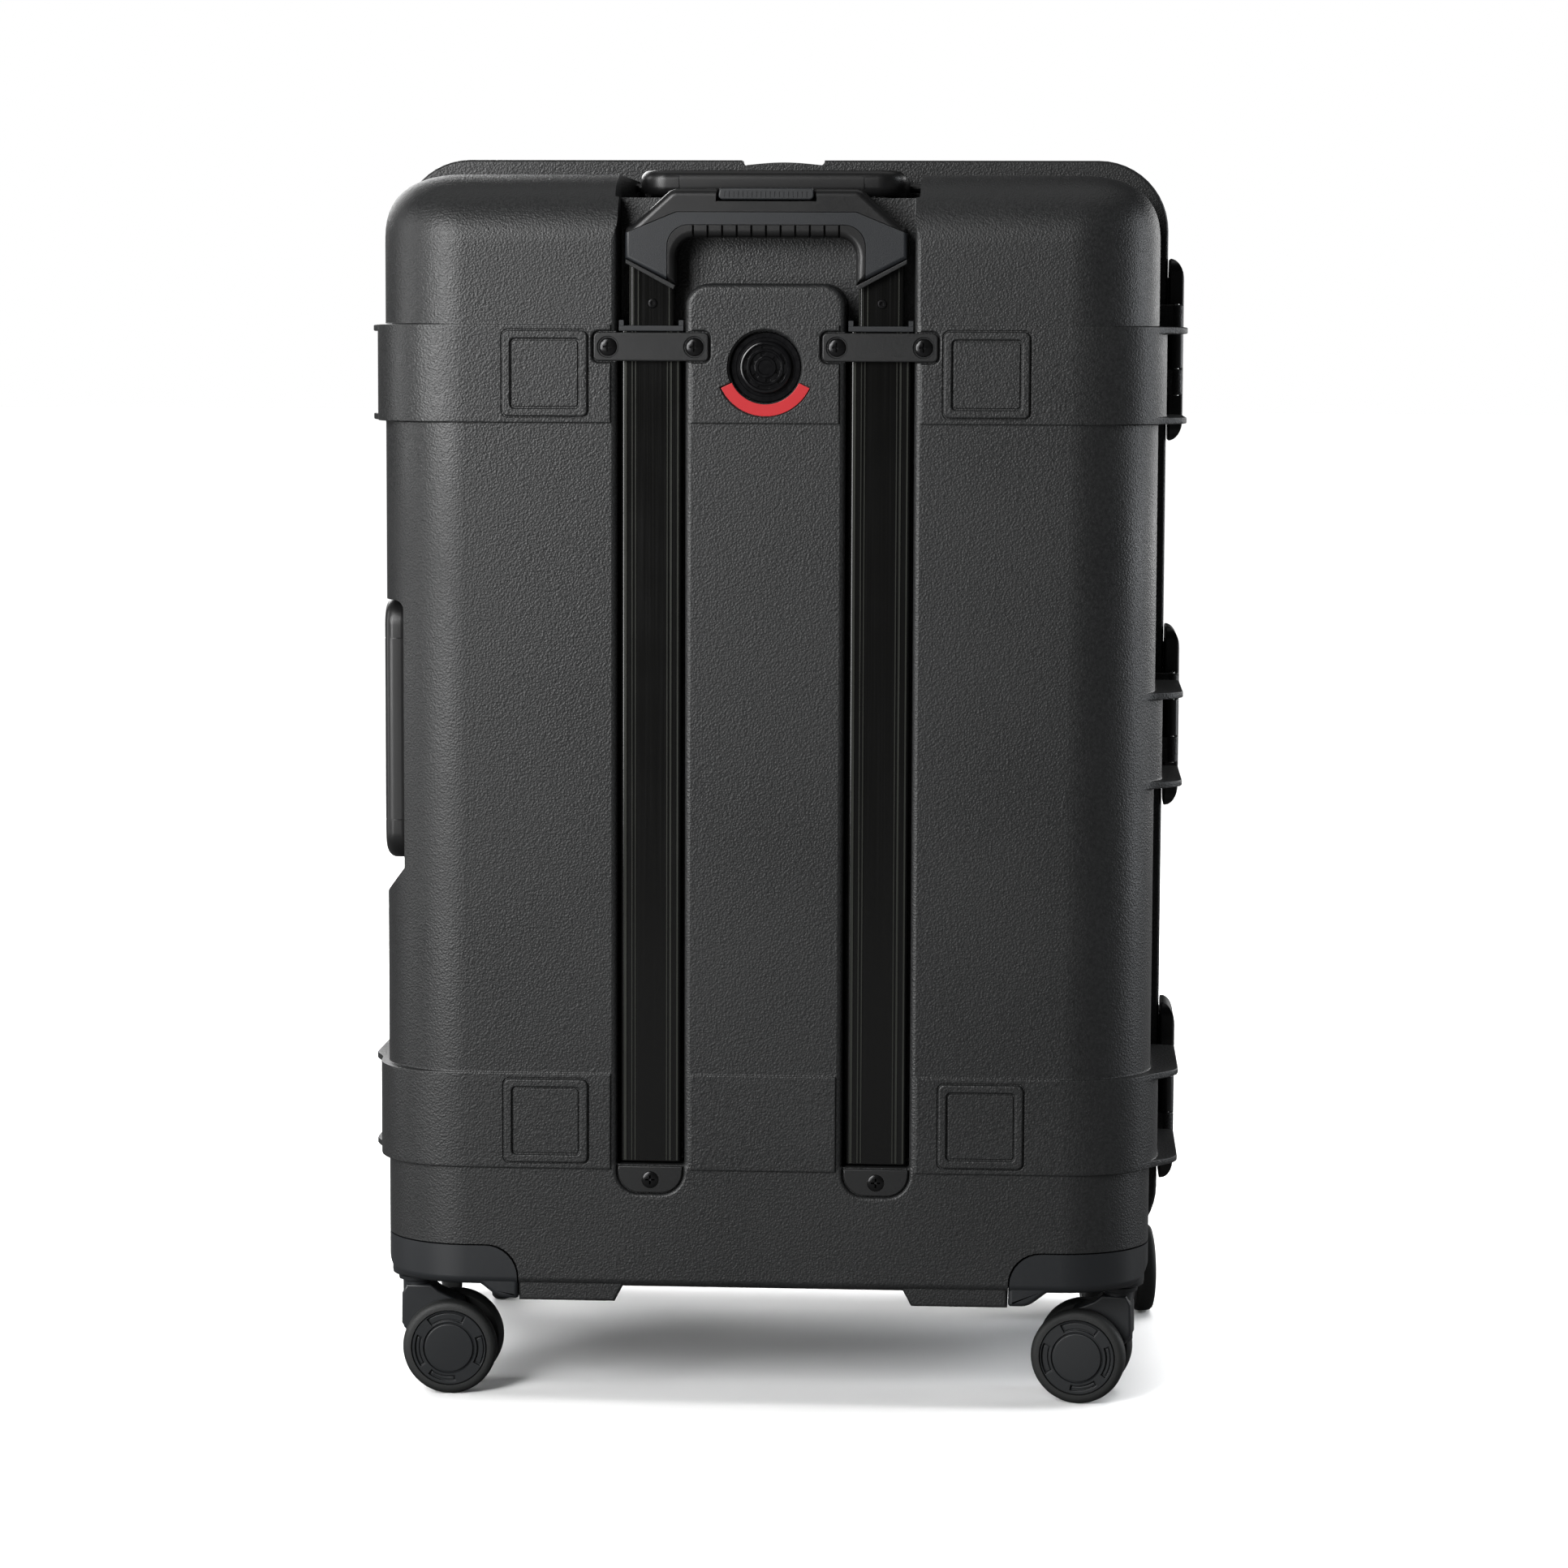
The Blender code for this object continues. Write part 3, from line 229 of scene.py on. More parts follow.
def box(name, low, high, edge=0.0006):
    (x0, y0, z0), (x1, y1, z1) = low, high
    return slab(name, [(x0, y0), (x1, y0), (x1, y1), (x0, y1)], "Z", z0, z1, edge, edge)


def lathe(name, profile, centre, axis="Y", segments=48):
    """A solid turned about an axis. The profile is (distance along the axis, radius)."""
    angles = np.linspace(0, 2 * math.pi, segments, endpoint=False)
    rings = []
    for along, radius in profile:
        radius = max(radius, 1e-5)
        rings.append([PLACE[axis](radius * math.cos(a), radius * math.sin(a), along) for a in angles])
    obj = loft(name, rings)
    obj.data.transform(Matrix.Translation(centre))
    return obj


def apply_modifiers(obj):
    depsgraph = bpy.context.evaluated_depsgraph_get()
    mesh = bpy.data.meshes.new_from_object(obj.evaluated_get(depsgraph))
    obj.modifiers.clear()
    obj.data = mesh


def boolean(obj, operation, others):
    for other in others:
        modifier = obj.modifiers.new("boolean", "BOOLEAN")
        modifier.operation = operation
        modifier.object = other
        modifier.solver = "MANIFOLD"
        apply_modifiers(obj)
        bpy.data.objects.remove(other, do_unlink=True)
    return obj


def cut(obj, *others):
    return boolean(obj, "DIFFERENCE", others)


def join(obj, *others):
    return boolean(obj, "UNION", others)


def smooth(obj, angle=35):
    """Smooth shading that leaves sharp edges sharp and large faces flat."""
    mesh = obj.data
    mesh.shade_smooth()
    mesh.set_sharp_from_angle(angle=math.radians(angle))
    modifier = obj.modifiers.new("flat faces stay flat", "WEIGHTED_NORMAL")
    modifier.keep_sharp = True
    modifier.weight = 80
    apply_modifiers(obj)
    return obj


def finished(obj, finish, body, *nodes, angle=35):
    """Shades a piece, gives it a material by its key and puts it on its body, in place of CAD nodes."""
    smooth(obj, angle)
    obj.data.materials.clear()
    obj.data.materials.append(MATERIALS[finish])
    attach(obj, body)
    if nodes:
        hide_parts(*nodes)
    return obj


# ---------------------------------------------------------------- materials
def shader_setup(name, colour, roughness, metallic=0.0):
    finish = bpy.data.materials.new(name)
    finish.use_nodes = True
    shader = finish.node_tree.nodes["Principled BSDF"]
    shader.inputs["Base Color"].default_value = (*colour, 1.0)
    shader.inputs["Roughness"].default_value = roughness
    shader.inputs["Metallic"].default_value = metallic
    return finish, finish.node_tree, shader


def node(tree, kind, settings=(), **inputs):
    made = tree.nodes.new(kind)
    for key, value in dict(settings).items():
        setattr(made, key, value)
    for key, value in inputs.items():
        made.inputs[key.replace("_", " ")].default_value = value
    return made


def object_coordinates(tree, scale=(1.0, 1.0, 1.0)):
    source = node(tree, "ShaderNodeTexCoord")
    mapping = node(tree, "ShaderNodeMapping", Scale=scale)
    tree.links.new(source.outputs["Object"], mapping.inputs["Vector"])
    return mapping.outputs["Vector"]


def ramp(tree, value, low_value, high_value):
    """Maps the middle of a pattern's range, 0.3 to 0.7, to two values, clamped."""
    made = node(tree, "ShaderNodeMapRange", From_Min=0.3, From_Max=0.7, To_Min=low_value, To_Max=high_value)
    tree.links.new(value, made.inputs["Value"])
    return made.outputs["Result"]


def noise(tree, vector, scale, detail=2.0):
    made = node(tree, "ShaderNodeTexNoise", Scale=scale, Detail=detail, Roughness=0.5)
    tree.links.new(vector, made.inputs["Vector"])
    return made.outputs["Fac"]


def voronoi(tree, vector, scale):
    made = node(tree, "ShaderNodeTexVoronoi", {"feature": "SMOOTH_F1"}, Scale=scale)
    tree.links.new(vector, made.inputs["Vector"])
    return made.outputs["Distance"]


def bump(tree, height, strength, distance):
    made = node(tree, "ShaderNodeBump", Strength=strength, Distance=distance)
    tree.links.new(height, made.inputs["Height"])
    return made.outputs["Normal"]


def mixed_colour(tree, factor, first, second):
    made = node(tree, "ShaderNodeMix", {"data_type": "RGBA"})
    made.inputs[6].default_value = (*first, 1.0)
    made.inputs[7].default_value = (*second, 1.0)
    tree.links.new(factor, made.inputs["Factor"])
    return made.outputs[2]


def vary_roughness(tree, shader, broad, fine, middle, spread, fine_spread):
    """Roughness round a middle value that follows a broad pattern and a fine one."""
    total = node(tree, "ShaderNodeMath", {"operation": "ADD"})
    tree.links.new(ramp(tree, broad, middle - spread, middle + spread), total.inputs[0])
    tree.links.new(ramp(tree, fine, -fine_spread, fine_spread), total.inputs[1])
    tree.links.new(total.outputs[0], shader.inputs["Roughness"])


def grained_plastic(name, colour, light, roughness, grain, depth, strength):
    """Moulded plastic with a fine pebble grain, between two colours."""
    finish, tree, shader = shader_setup(name, colour, roughness)
    where = object_coordinates(tree)
    pebbles = voronoi(tree, where, grain)
    broad = noise(tree, where, 7.0, 3.0)
    fine = noise(tree, where, grain * 0.6)
    tree.links.new(mixed_colour(tree, fine, colour, light), shader.inputs["Base Color"])
    vary_roughness(tree, shader, broad, fine, roughness, 0.06, 0.05)
    tree.links.new(bump(tree, pebbles, strength, depth), shader.inputs["Normal"])
    return finish


def drawn_metal(name, colour, roughness, metallic, stretch=(900.0, 900.0, 6.0)):
    """Smooth metal or lacquer with faint streaks, long where the stretch is small."""
    finish, tree, shader = shader_setup(name, colour, roughness, metallic)
    streaks = noise(tree, object_coordinates(tree, stretch), 1.0, 3.0)
    patches = noise(tree, object_coordinates(tree), 25.0)
    lighter = tuple(min(1.0, c * 1.35) for c in colour)
    tree.links.new(mixed_colour(tree, streaks, colour, lighter), shader.inputs["Base Color"])
    vary_roughness(tree, shader, streaks, patches, roughness, 0.04, 0.02)
    tree.links.new(bump(tree, streaks, 0.3, 0.00002), shader.inputs["Normal"])
    return finish


MATERIALS = {}
# name, dark colour, light colour, roughness, grains per metre, their depth, strength of the bump
PLASTICS = {
    "shell": (
        "shell_pebble_plastic", (0.0080, 0.0084, 0.0086), (0.0250, 0.0257, 0.0262), 0.45, 850, 0.00026, 1.0),
    "trim": (
        "trim_satin_plastic", (0.0130, 0.0145, 0.0165), (0.0170, 0.0185, 0.0205), 0.42, 2600, 0.00005, 0.3),
    "grip": (
        "grip_speckled_plastic", (0.0062, 0.0073, 0.009), (0.0150, 0.0174, 0.0208), 0.44, 1800, 0.0001, 0.5),
    "soft": (
        "soft_touch_rubber", (0.006, 0.006, 0.0064), (0.0095, 0.0095, 0.0095), 0.36, 3000, 0.00004, 0.3),
    "coat": ("black_powder_coat", (0.01, 0.0103, 0.0106), (0.017, 0.0173, 0.0176), 0.36, 2400, 0.00008, 0.4),
    "tyre": ("tyre_rubber", (0.0090, 0.0098, 0.0096), (0.0170, 0.0180, 0.0176), 0.62, 1500, 0.00020, 0.6),
    "hub": ("hub_plastic", (0.0120, 0.0135, 0.0150), (0.0150, 0.0165, 0.0180), 0.42, 2600, 0.00004, 0.2),
    "seal": ("seal_rubber", (0.012, 0.012, 0.012), (0.018, 0.018, 0.018), 0.66, 1200, 0.00010, 0.4),
    "red": ("red_label", (0.52, 0.016, 0.022), (0.56, 0.020, 0.026), 0.38, 3000, 0.00003, 0.2),
}
# name, colour, roughness, metallic, and how stretched the streaks are
METALS = {
    "gloss": ("gloss_black_plastic", (0.004, 0.004, 0.0045), 0.17, 0.0, (300.0, 300.0, 300.0)),
    "anodised": ("black_anodised_aluminium", (0.0034, 0.0034, 0.0032), 0.16, 0.0),
    # the ridges' metal is painted far lighter than the black anodised tube they belong to: a painted
    # highlight along the ridge edges
    "ridge_highlight": ("ridge_highlight_aluminium", (0.050, 0.052, 0.046), 0.26, 0.6),
    "screw": ("black_oxide_screw", (0.016, 0.016, 0.0165), 0.20, 0.7, (500.0, 500.0, 500.0)),
    "steel": ("bare_steel", (0.45, 0.45, 0.44), 0.30, 1.0, (60.0, 60.0, 900.0)),
}


def make_materials():
    for key, look in PLASTICS.items():
        MATERIALS[key] = grained_plastic(*look)
    for key, look in METALS.items():
        MATERIALS[key] = drawn_metal(*look)


# ---------------------------------------------------------------- shells
# profile of a band's or a rib's edge: (place across the step, part of its height), with room for a groove
STEP = (
    (-0.0024, 0.0), (-0.0016, 0.0), (-0.0008, 0.0), (-0.0003, 0.03), (0.0, 0.12),
    (0.0002, 0.86), (0.0005, 0.97), (0.0011, 1.0))


def face_of(side):
    """Where the back shell's face is, for side -1, or the lid's, for side 1."""
    return BACK_Y if side < 0 else FRONT_Y


def edge_lines(place, way):
    """Grid lines across a step that rises along way."""
    return [place + way * at for at, _ in STEP]


def rise(value, place, way):
    """0 before a step and 1 after it, along way."""
    return np.interp((value - place) * way, [at for at, _ in STEP], [f for _, f in STEP])


def bump_between(value, low, high):
    return rise(value, low, 1) * rise(value, high, -1)


def filled_in(lines, spacing):
    """Sorted lines with more added where they're far apart."""
    lines = sorted(set(round(v, 7) for v in lines))
    found = [lines[0]]
    for line in lines[1:]:
        gap = line - found[-1]
        if gap < 2e-6:
            continue
        count = max(1, math.ceil(gap / spacing))
        start = found[-1]
        found += [start + gap * (i + 1) / count for i in range(count)]
    return found


def corner_lines(steps=9):
    """Places from 0 to 1 across half a rounded edge, evenly spaced in angle."""
    return [math.tan(math.radians(45 * i / steps)) for i in range(1, steps + 1)]


def box_grid(x_lines, y_lines, z_lines):
    """Points and faces of a box's surface on a grid."""
    index, points, faces = {}, [], []

    def vertex(i, j, k):
        key = (i, j, k)
        if key not in index:
            index[key] = len(points)
            points.append((x_lines[i], y_lines[j], z_lines[k]))
        return index[key]

    counts = [len(x_lines) - 1, len(y_lines) - 1, len(z_lines) - 1]
    for axis in (1, 0, 2):
        a, b = [other for other in range(3) if other != axis]
        for end in (0, counts[axis]):
            for i, j in product(range(counts[a]), range(counts[b])):
                face = []
                for step_a, step_b in ((0, 0), (1, 0), (1, 1), (0, 1)):
                    at = [end, end, end]
                    at[a] = i + step_a
                    at[b] = j + step_b
                    face.append(vertex(*at))
                faces.append(face)
    return np.array(points), faces


def rounded_body(name, side, inset=0.0, features=False):
    """Half of the case's body, as a solid that is closed at the parting line. Side is -1 for the back."""
    face = face_of(side) * side - inset
    half_w, low_z, high_z = HALF_W - inset, BOTTOM_Z + inset, TOP_Z - inset
    reach = np.array(CORNER) - inset
    inner_x, inner_y = half_w - reach[0], face - reach[1]
    fillet = BOTTOM_R - inset
    inner_low, inner_high = low_z + fillet, high_z - reach[2]

    # the box's lines: its rounded edges are one unit wide, mapped below
    x_flat = [-inner_x, inner_x]
    y_flat = [-0.003 if inset else PARTING, inner_y]
    z_flat = [inner_low, inner_high]
    if features:
        for groove in GROOVE_EDGES:
            x_flat += [s * v for s in (-1, 1) for v in edge_lines(groove, 1) + edge_lines(groove, -1)]
        for low in (*BAND_LOWS, LATCH_BAND_LOW):
            for place in (low, low + BAND_H - RIB_H):
                z_flat += edge_lines(place, 1) + edge_lines(place + RIB_H, -1)
        y_flat += [*LATCH_ROOM, *HINGE_ROOM, *RIB_FADE_LINES]
    x_flat, y_flat, z_flat = (filled_in(lines, 0.02) for lines in (x_flat, y_flat, z_flat))
    last = [1 + c for c in corner_lines()]
    first = [-c for c in reversed(last)]
    x_lines, y_lines, z_lines = first + x_flat + last, y_flat + last, first + z_flat + last
    points, faces = box_grid(x_lines, y_lines, z_lines)

    def beyond(values):
        """How far into a rounded edge a line is, from 0 to 1, signed."""
        return np.where(np.abs(values) > 1, (np.abs(values) - 1) * np.sign(values), 0.0)

    out = np.stack([beyond(points[:, 0]), beyond(points[:, 1]), beyond(points[:, 2])], axis=1)
    core = np.stack([
        np.where(out[:, 0] != 0, np.sign(out[:, 0]) * inner_x, points[:, 0]),
        np.where(out[:, 1] != 0, inner_y, points[:, 1]),
        np.where(out[:, 2] < 0, inner_low, np.where(out[:, 2] > 0, inner_high, points[:, 2])),
    ], axis=1)
    furthest = np.abs(out).max(axis=1)
    cap = furthest < 1 - 1e-9
    normal = out / np.maximum(np.linalg.norm(out, axis=1), 1e-12)[:, None]
    shift = np.where(
        (out[:, 2] < 0)[:, None], underside_shift(out, reach, fillet), rounded_shift(normal, reach))
    # the flat cap at the parting line is the same outline, drawn in towards the middle
    placed = core + shift * np.where(cap, furthest, 1.0)[:, None]
    if features:
        placed += np.where(cap, 0.0, 1.0)[:, None] * belt_shift(placed, normal, side < 0)
    placed[:, 1] *= side
    return build(name, placed, faces)


def rounded_shift(normal, reach):
    """From the body's inner box out to its rounded surface, along a direction."""
    across = np.maximum(np.hypot(normal[:, 0], normal[:, 2]), 1e-9)
    cos_a = np.abs(normal[:, 0]) / across
    cos_b = np.abs(normal[:, 2]) / across
    power = (cos_a / reach[0]) ** CORNER_POWER + (cos_b / reach[2]) ** CORNER_POWER
    radius = np.maximum(power, 1e-9) ** (-1 / CORNER_POWER)
    return np.column_stack([normal[:, 0] * radius, reach[1] * normal[:, 1], normal[:, 2] * radius])


def underside_shift(out, reach, fillet):
    """The same below, where the walls run straight down to a fillet round a flat underside."""
    spread = np.abs(out[:, :2]).max(axis=1)
    tilt = np.degrees(np.arctan2(np.abs(out[:, 2]), spread))
    full_tilt = 65.0                         # the fillet takes these degrees, the underside the rest
    turn = np.radians(np.clip(tilt / full_tilt, 0, 1) * 90)
    inwards = np.clip((90 - tilt) / (90 - full_tilt), 0, 1)
    plan = out[:, :2] / np.maximum(np.linalg.norm(out[:, :2], axis=1), 1e-9)[:, None]
    reached = plan * reach[:2] - plan * (fillet * (1 - np.cos(turn)))[:, None]
    return np.column_stack([reached * inwards[:, None], -fillet * np.sin(turn)])


def belt_shift(placed, normal, grooved):
    """How far the bands and ribs stand out of the body at each of its points."""
    x, y, z = placed.T
    plan = np.hypot(normal[:, 0], normal[:, 1])
    turn = np.clip(np.abs(normal[:, 0]) / np.maximum(plan, 1e-12), 0.0, 1.0)
    ease = turn ** 3 * (10 - 15 * turn + 6 * turn ** 2)
    rib_out = np.where(x > 0, RIB_HALF_W, LEFT_RIB_HALF_W) - HALF_W
    fin = np.clip((np.where(x > 0, 0.158, 0.133) - y) / 0.028, 0.0, 1.0)
    fin = fin * fin * (3 - 2 * fin) * turn
    band_out = np.where((x < 0) & (y < 0.052), HINGE_BAND_OUT, BAND_HALF_W - HALF_W)
    across = np.abs(x)
    gap = np.maximum(rise(across, GROOVE_EDGES[1], 1), rise(across, GROOVE_EDGES[0], -1))
    groove_gap = gap if grooved else 1.0
    amount = np.zeros(len(x))
    for low, both in ((BAND_LOWS[0], True), (BAND_LOWS[1], True), (LATCH_BAND_LOW, False)):
        high = low + BAND_H
        belt = bump_between(z, low, high)
        ribs = bump_between(z, low, low + RIB_H) + bump_between(z, high - RIB_H, high)
        if both:
            rows = belt * (BAND_FACE * groove_gap * (1 - ease) + band_out * ease)
        else:
            rows = belt * np.where(x > 0, band_out * fin, 0.0)
        rows += ribs * (rib_out - band_out) * np.where((x > 0) | both, fin, 0.0)
        amount = np.maximum(amount, rows)
        if both:
            away = np.maximum(low - z, z - high)
            line = np.interp(away, (0.0003, 0.0008, 0.0016, 0.0024), (0.0, 1.0, 1.0, 0.0))
            amount -= BAND_GROOVE * line * groove_gap * (1 - ease)
    # the latches and the hinges stand by the flange, in rooms without bands
    amount = np.where(x > 0, amount * np.interp(y, LATCH_ROOM, (0.0, 1.0)), amount)
    hinge_limit = HINGE_BAND_OUT + (rib_out - HINGE_BAND_OUT) * np.interp(y, HINGE_ROOM, (0.0, 1.0))
    amount = np.where(x < 0, np.minimum(amount, hinge_limit), amount)
    direction = np.stack([normal[:, 0], normal[:, 1], np.zeros(len(x))], axis=1)
    direction /= np.maximum(np.linalg.norm(direction, axis=1, keepdims=True), 1e-9)
    return direction * amount[:, None]


def mirrored(outline):
    return [(-x, z) for x, z in outline]


def housing_outline(grow=0.0):
    """Front outline of a caster housing on the +X side."""
    inner, top, knee = 0.1600 - grow, 0.1045 + grow, 0.0210
    low, far = 0.060, 0.27
    return [(far, low), (far, top)] + arc((inner + knee, top - knee), knee, 90, 180, 8) + [(inner, low)]


def flange(side):
    outline = rounded_rectangle((-FLANGE_HALF_W, FLANGE_BOTTOM), (FLANGE_HALF_W, FLANGE_TOP), FLANGE_R, 12)
    low, high = sorted((side * PARTING, side * FLANGE_Y))
    edges = (0.0022, 0.0006) if side < 0 else (0.0006, 0.0022)
    return slab("flange", outline, "Y", low, high, *edges)


def runners(side):
    """Skids under the shell, beside the casters."""
    low, high = sorted((side * 0.008, face_of(side) - side * 0.0016))
    outline = [(0.0900, 0.0810), (0.0967, 0.0682), (0.1592, 0.0682), (0.1592, 0.1300), (0.0900, 0.1300)]
    return [slab("runner", way, "Y", low, high, 0.0020, 0.0020) for way in (mirrored(outline), outline)]


def pad_places():
    return [(x * 0.1410, low + BAND_H / 2) for x in (-1, 1) for low in BAND_LOWS]


def square(x, z, half, radius):
    return rounded_rectangle((x - half, z - half), (x + half, z + half), radius, 5)


def add_pads(shell, side):
    """Square frames moulded on the bands, each in a thin groove and round a raised panel."""
    face = face_of(side)
    level = face + side * BAND_FACE
    top, outside = level + side * 0.0013, level + side * 0.01

    def squares(name, half, radius, high, edge):
        span = sorted((face - side * 0.002, high))
        edges = (edge, 0.0001) if side < 0 else (0.0001, edge)
        return [slab(name, square(x, z, half, radius), "Y", *span, *edges) for x, z in pad_places()]

    def pockets(name, half, radius, floor, rim_level, rim):
        return [flared(name, square(x, z, half, radius), "Y", floor, rim_level, outside, rim, 0.0002)
                for x, z in pad_places()]

    cut(shell, *pockets("frame groove", 0.0283, 0.0046, level - side * 0.0009, level, 0.0004))
    join(shell, *squares("frame", 0.0274, 0.0040, top, 0.0012))
    cut(shell, *pockets("panel groove", 0.0222, 0.0026, level - side * 0.0007, top, 0.0010))
    join(shell, *squares("panel", 0.0211, 0.0020, level + side * 0.0002, 0.0006))


def add_housing_cuts(shell, side):
    low, high = sorted((face_of(side) + side * 0.01, face_of(side) - side * 0.0954))
    outline = housing_outline(0.0006)
    for corner_outline in (outline, mirrored(outline)):
        cut(shell, slab("housing cut", corner_outline, "Y", low, high, 0.0001, 0.0001))


def cavity(side):
    """The room inside a shell, which leaves a wall behind every pocket of its outside."""
    inner = rounded_body("cavity", side, WALL)
    low, high = sorted((face_of(side) + side * 0.01, face_of(side) - side * 0.0998))
    outline = housing_outline(0.0006 + WALL)
    for corner_outline in (outline, mirrored(outline)):
        cut(inner, slab("housing hump", corner_outline, "Y", low, high, 0.0001, 0.0020))
    if side < 0:
        hump, front, valve_r = grown(trolley_outline(), WALL), BACK_Y - 0.01, 0.0269
        cut(inner, slab("trolley hump", hump, "Y", front, GROOVE_FLOOR + WALL, 0.0001, 0.0030))
        cut(inner, box("top hump", (-0.1015, front, TOP_Z - 0.0195), (0.1015, 0.01, TOP_Z + 0.02)))
        cut(inner, box("side hump", (-0.28, front, 0.3260), (-HALF_W + 0.0195, 0.01, 0.5280)))
        valve = ((front, valve_r), (BACK_Y + 0.0110, valve_r))
        cut(inner, lathe("valve hump", valve, (0, 0, VALVE_Z), segments=64))
    return inner


def trolley_outline():
    """The recess for the trolley: two grooves that join above a round-shouldered panel."""
    (inner, outer), knee, above = GROOVE_X, 0.0015, 0.835
    half = (
        arc((inner + knee, GROOVE_BOTTOM + knee), knee, 180, 270, 3)
        + arc((outer - knee, GROOVE_BOTTOM + knee), knee, 270, 360, 3)
        + [(outer, above)]
    )
    shoulder = arc((inner - PANEL_R, PANEL_TOP - PANEL_R), PANEL_R, 90, 0, 10)
    return shoulder + half + mirrored(reversed(half)) + mirrored(reversed(shoulder))


def foot_outline(x, radius):
    top = GROOVE_BOTTOM - 0.0008
    knee, depth = radius * 0.68, radius * 0.84
    return (
        [(x - radius, top)] + arc((x - radius + knee, top - depth + knee), knee, 180, 270, 12)
        + arc((x + radius - knee, top - depth + knee), knee, 270, 360, 12) + [(x + radius, top)]
    )


def ring_sector(centre, inner, outer, start, end, steps):
    return arc(centre, outer, start, end, steps) + arc(centre, inner, end, start, steps)


def badge_outline(grow=0.0):
    inner, outer = 0.0236 - grow, 0.0312 + grow
    spread = 65 + math.degrees(grow / outer)
    return (
        arc((0, VALVE_Z), outer, -90 - spread, -90 + spread, 28)
        + arc((0, VALVE_Z), inner, -90 + spread, -90 - spread, 24)
    )


def side_pocket_outline():
    """The notch for the side handle, as (x, z)."""
    floor = -HALF_W + 0.0155
    return (
        [(-0.29, 0.5236)] + [(-0.29, 0.3200), (-HALF_W - 0.001, 0.3290), (floor, 0.3495)]
        + arc((floor - 0.0060, 0.5236 - 0.0060), 0.0060, 0, 90, 5)
    )


def make_back_shell():
    shell = rounded_body("back_shell_moulding", -1, features=True)
    join(shell, flange(-1), *runners(-1))
    add_pads(shell, -1)
    front = BACK_Y - 0.02
    cut(shell, flared("trolley recess", trolley_outline(), "Y", GROOVE_FLOOR, BACK_Y, front, 0.0036, 0.0012))
    for way in (-1, 1):
        cut(shell, *strap_and_foot_seats(way, front))
    back = -FLANGE_Y - 0.0005
    cut(shell, box("top pocket", (-0.0975, front, TOP_Z - 0.0155), (0.0975, back, 0.86), 0.0015))
    cut(shell, slab("side pocket", side_pocket_outline(), "Y", front, back, 0.0001, 0.0020))
    cut(shell, cavity(-1))
    cut(shell, lathe("valve recess", (
        (front, 0.0246), (BACK_Y - 0.0002, 0.0246), (BACK_Y + 0.0002, 0.0238),
        (BACK_Y + 0.0009, 0.0231), (BACK_Y + 0.0018, 0.0229), (BACK_Y + 0.0070, 0.0229)),
        (0, 0, VALVE_Z), segments=72))
    bore = ((BACK_Y, 0.0094), (BACK_Y + 0.03, 0.0094))
    cut(shell, lathe("valve bore", bore, (0, 0, VALVE_Z), segments=32))
    badge = badge_outline(0.0006)
    cut(shell, flared("badge seat", badge, "Y", BACK_Y + 0.0007, BACK_Y - BAND_FACE, front, 0.0006, 0.0002))
    add_housing_cuts(shell, -1)
    add_notches(shell, -1)
    for name in ("upper", "middle", "lower"):
        add_latch_lugs(shell, JOINTS[f"latch_{name}_hinge"]["pos_m"])
    return finished(shell, "shell", "back_half", "back_shell")


def strap_and_foot_seats(way, front):
    """Cutters for the shallow seats of a tube's strap and end plate."""
    x0, x1 = sorted(way * x for x in STRAP_X)
    gap = 0.0010
    strap = rounded_rectangle((x0 - gap, STRAP_Z[0] - gap), (x1 + gap, STRAP_Z[1] + gap), 0.0045)
    x, radius = way * TUBE_X, FOOT_R + gap
    foot = foot_outline(x, radius) + [(x + radius, 0.1640), (x - radius, 0.1640)]
    return (
        flared("strap seat", strap, "Y", BACK_Y + 0.0016, BACK_Y - BAND_FACE, front, 0.0014, 0.0004),
        flared("foot seat", foot, "Y", BACK_Y + 0.0030, BACK_Y, front, 0.0022, 0.0006),
    )


def add_notches(shell, side):
    """Seats for the hinge leaves and the finger notch in the top flange."""
    for name in ("upper", "lower"):
        (_, _, low), (_, _, high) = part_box(f"hinge_leaf_back_{name}")
        y0, y1 = sorted((side * 0.0495, -side * 0.01))
        cut(shell, box("hinge seat", (-0.30, y0, low - 0.0006), (-0.2555, y1, high + 0.0006)))
    y0, y1 = sorted((-side * 0.01, side * 0.02))
    notch = rounded_rectangle((-0.028, FLANGE_TOP - 0.0035), (0.028, FLANGE_TOP + 0.02), 0.0030)
    cut(shell, slab("finger notch", notch, "Y", y0, y1))


def add_latch_lugs(shell, pivot):
    x, y, z = pivot
    for side in (-1, 1):
        low, high = sorted((z + side * 0.0130, z + side * 0.0300))
        profile = ((low, 0.0040), (low + 0.0006, 0.0045), (high - 0.0006, 0.0045), (high, 0.0040))
        join(shell, lathe("lug", profile, (x, y, 0), "Z", 24))
        join(shell, box("lug web", (0.2480, y - 0.0035, low), (x, y + 0.0035, high)))


def make_lid():
    lid = rounded_body("front_shell_moulding", 1, features=True)
    join(lid, flange(1), *runners(1))
    add_pads(lid, 1)
    cut(lid, cavity(1))
    add_housing_cuts(lid, 1)
    add_notches(lid, 1)
    # a low crown in the finger notch
    half, ends, base = 0.0255, FLANGE_TOP - 0.0028, FLANGE_TOP - 0.0080
    crown = [(x, ends + 0.0018 * math.cos(x / half * math.pi / 2)) for x in np.linspace(half, -half, 15)]
    join(lid, slab("notch crown", [(-half, base), (half, base)] + crown, "Y", 0.0005, 0.0070))
    return finished(lid, "shell", "lid", "front_shell")


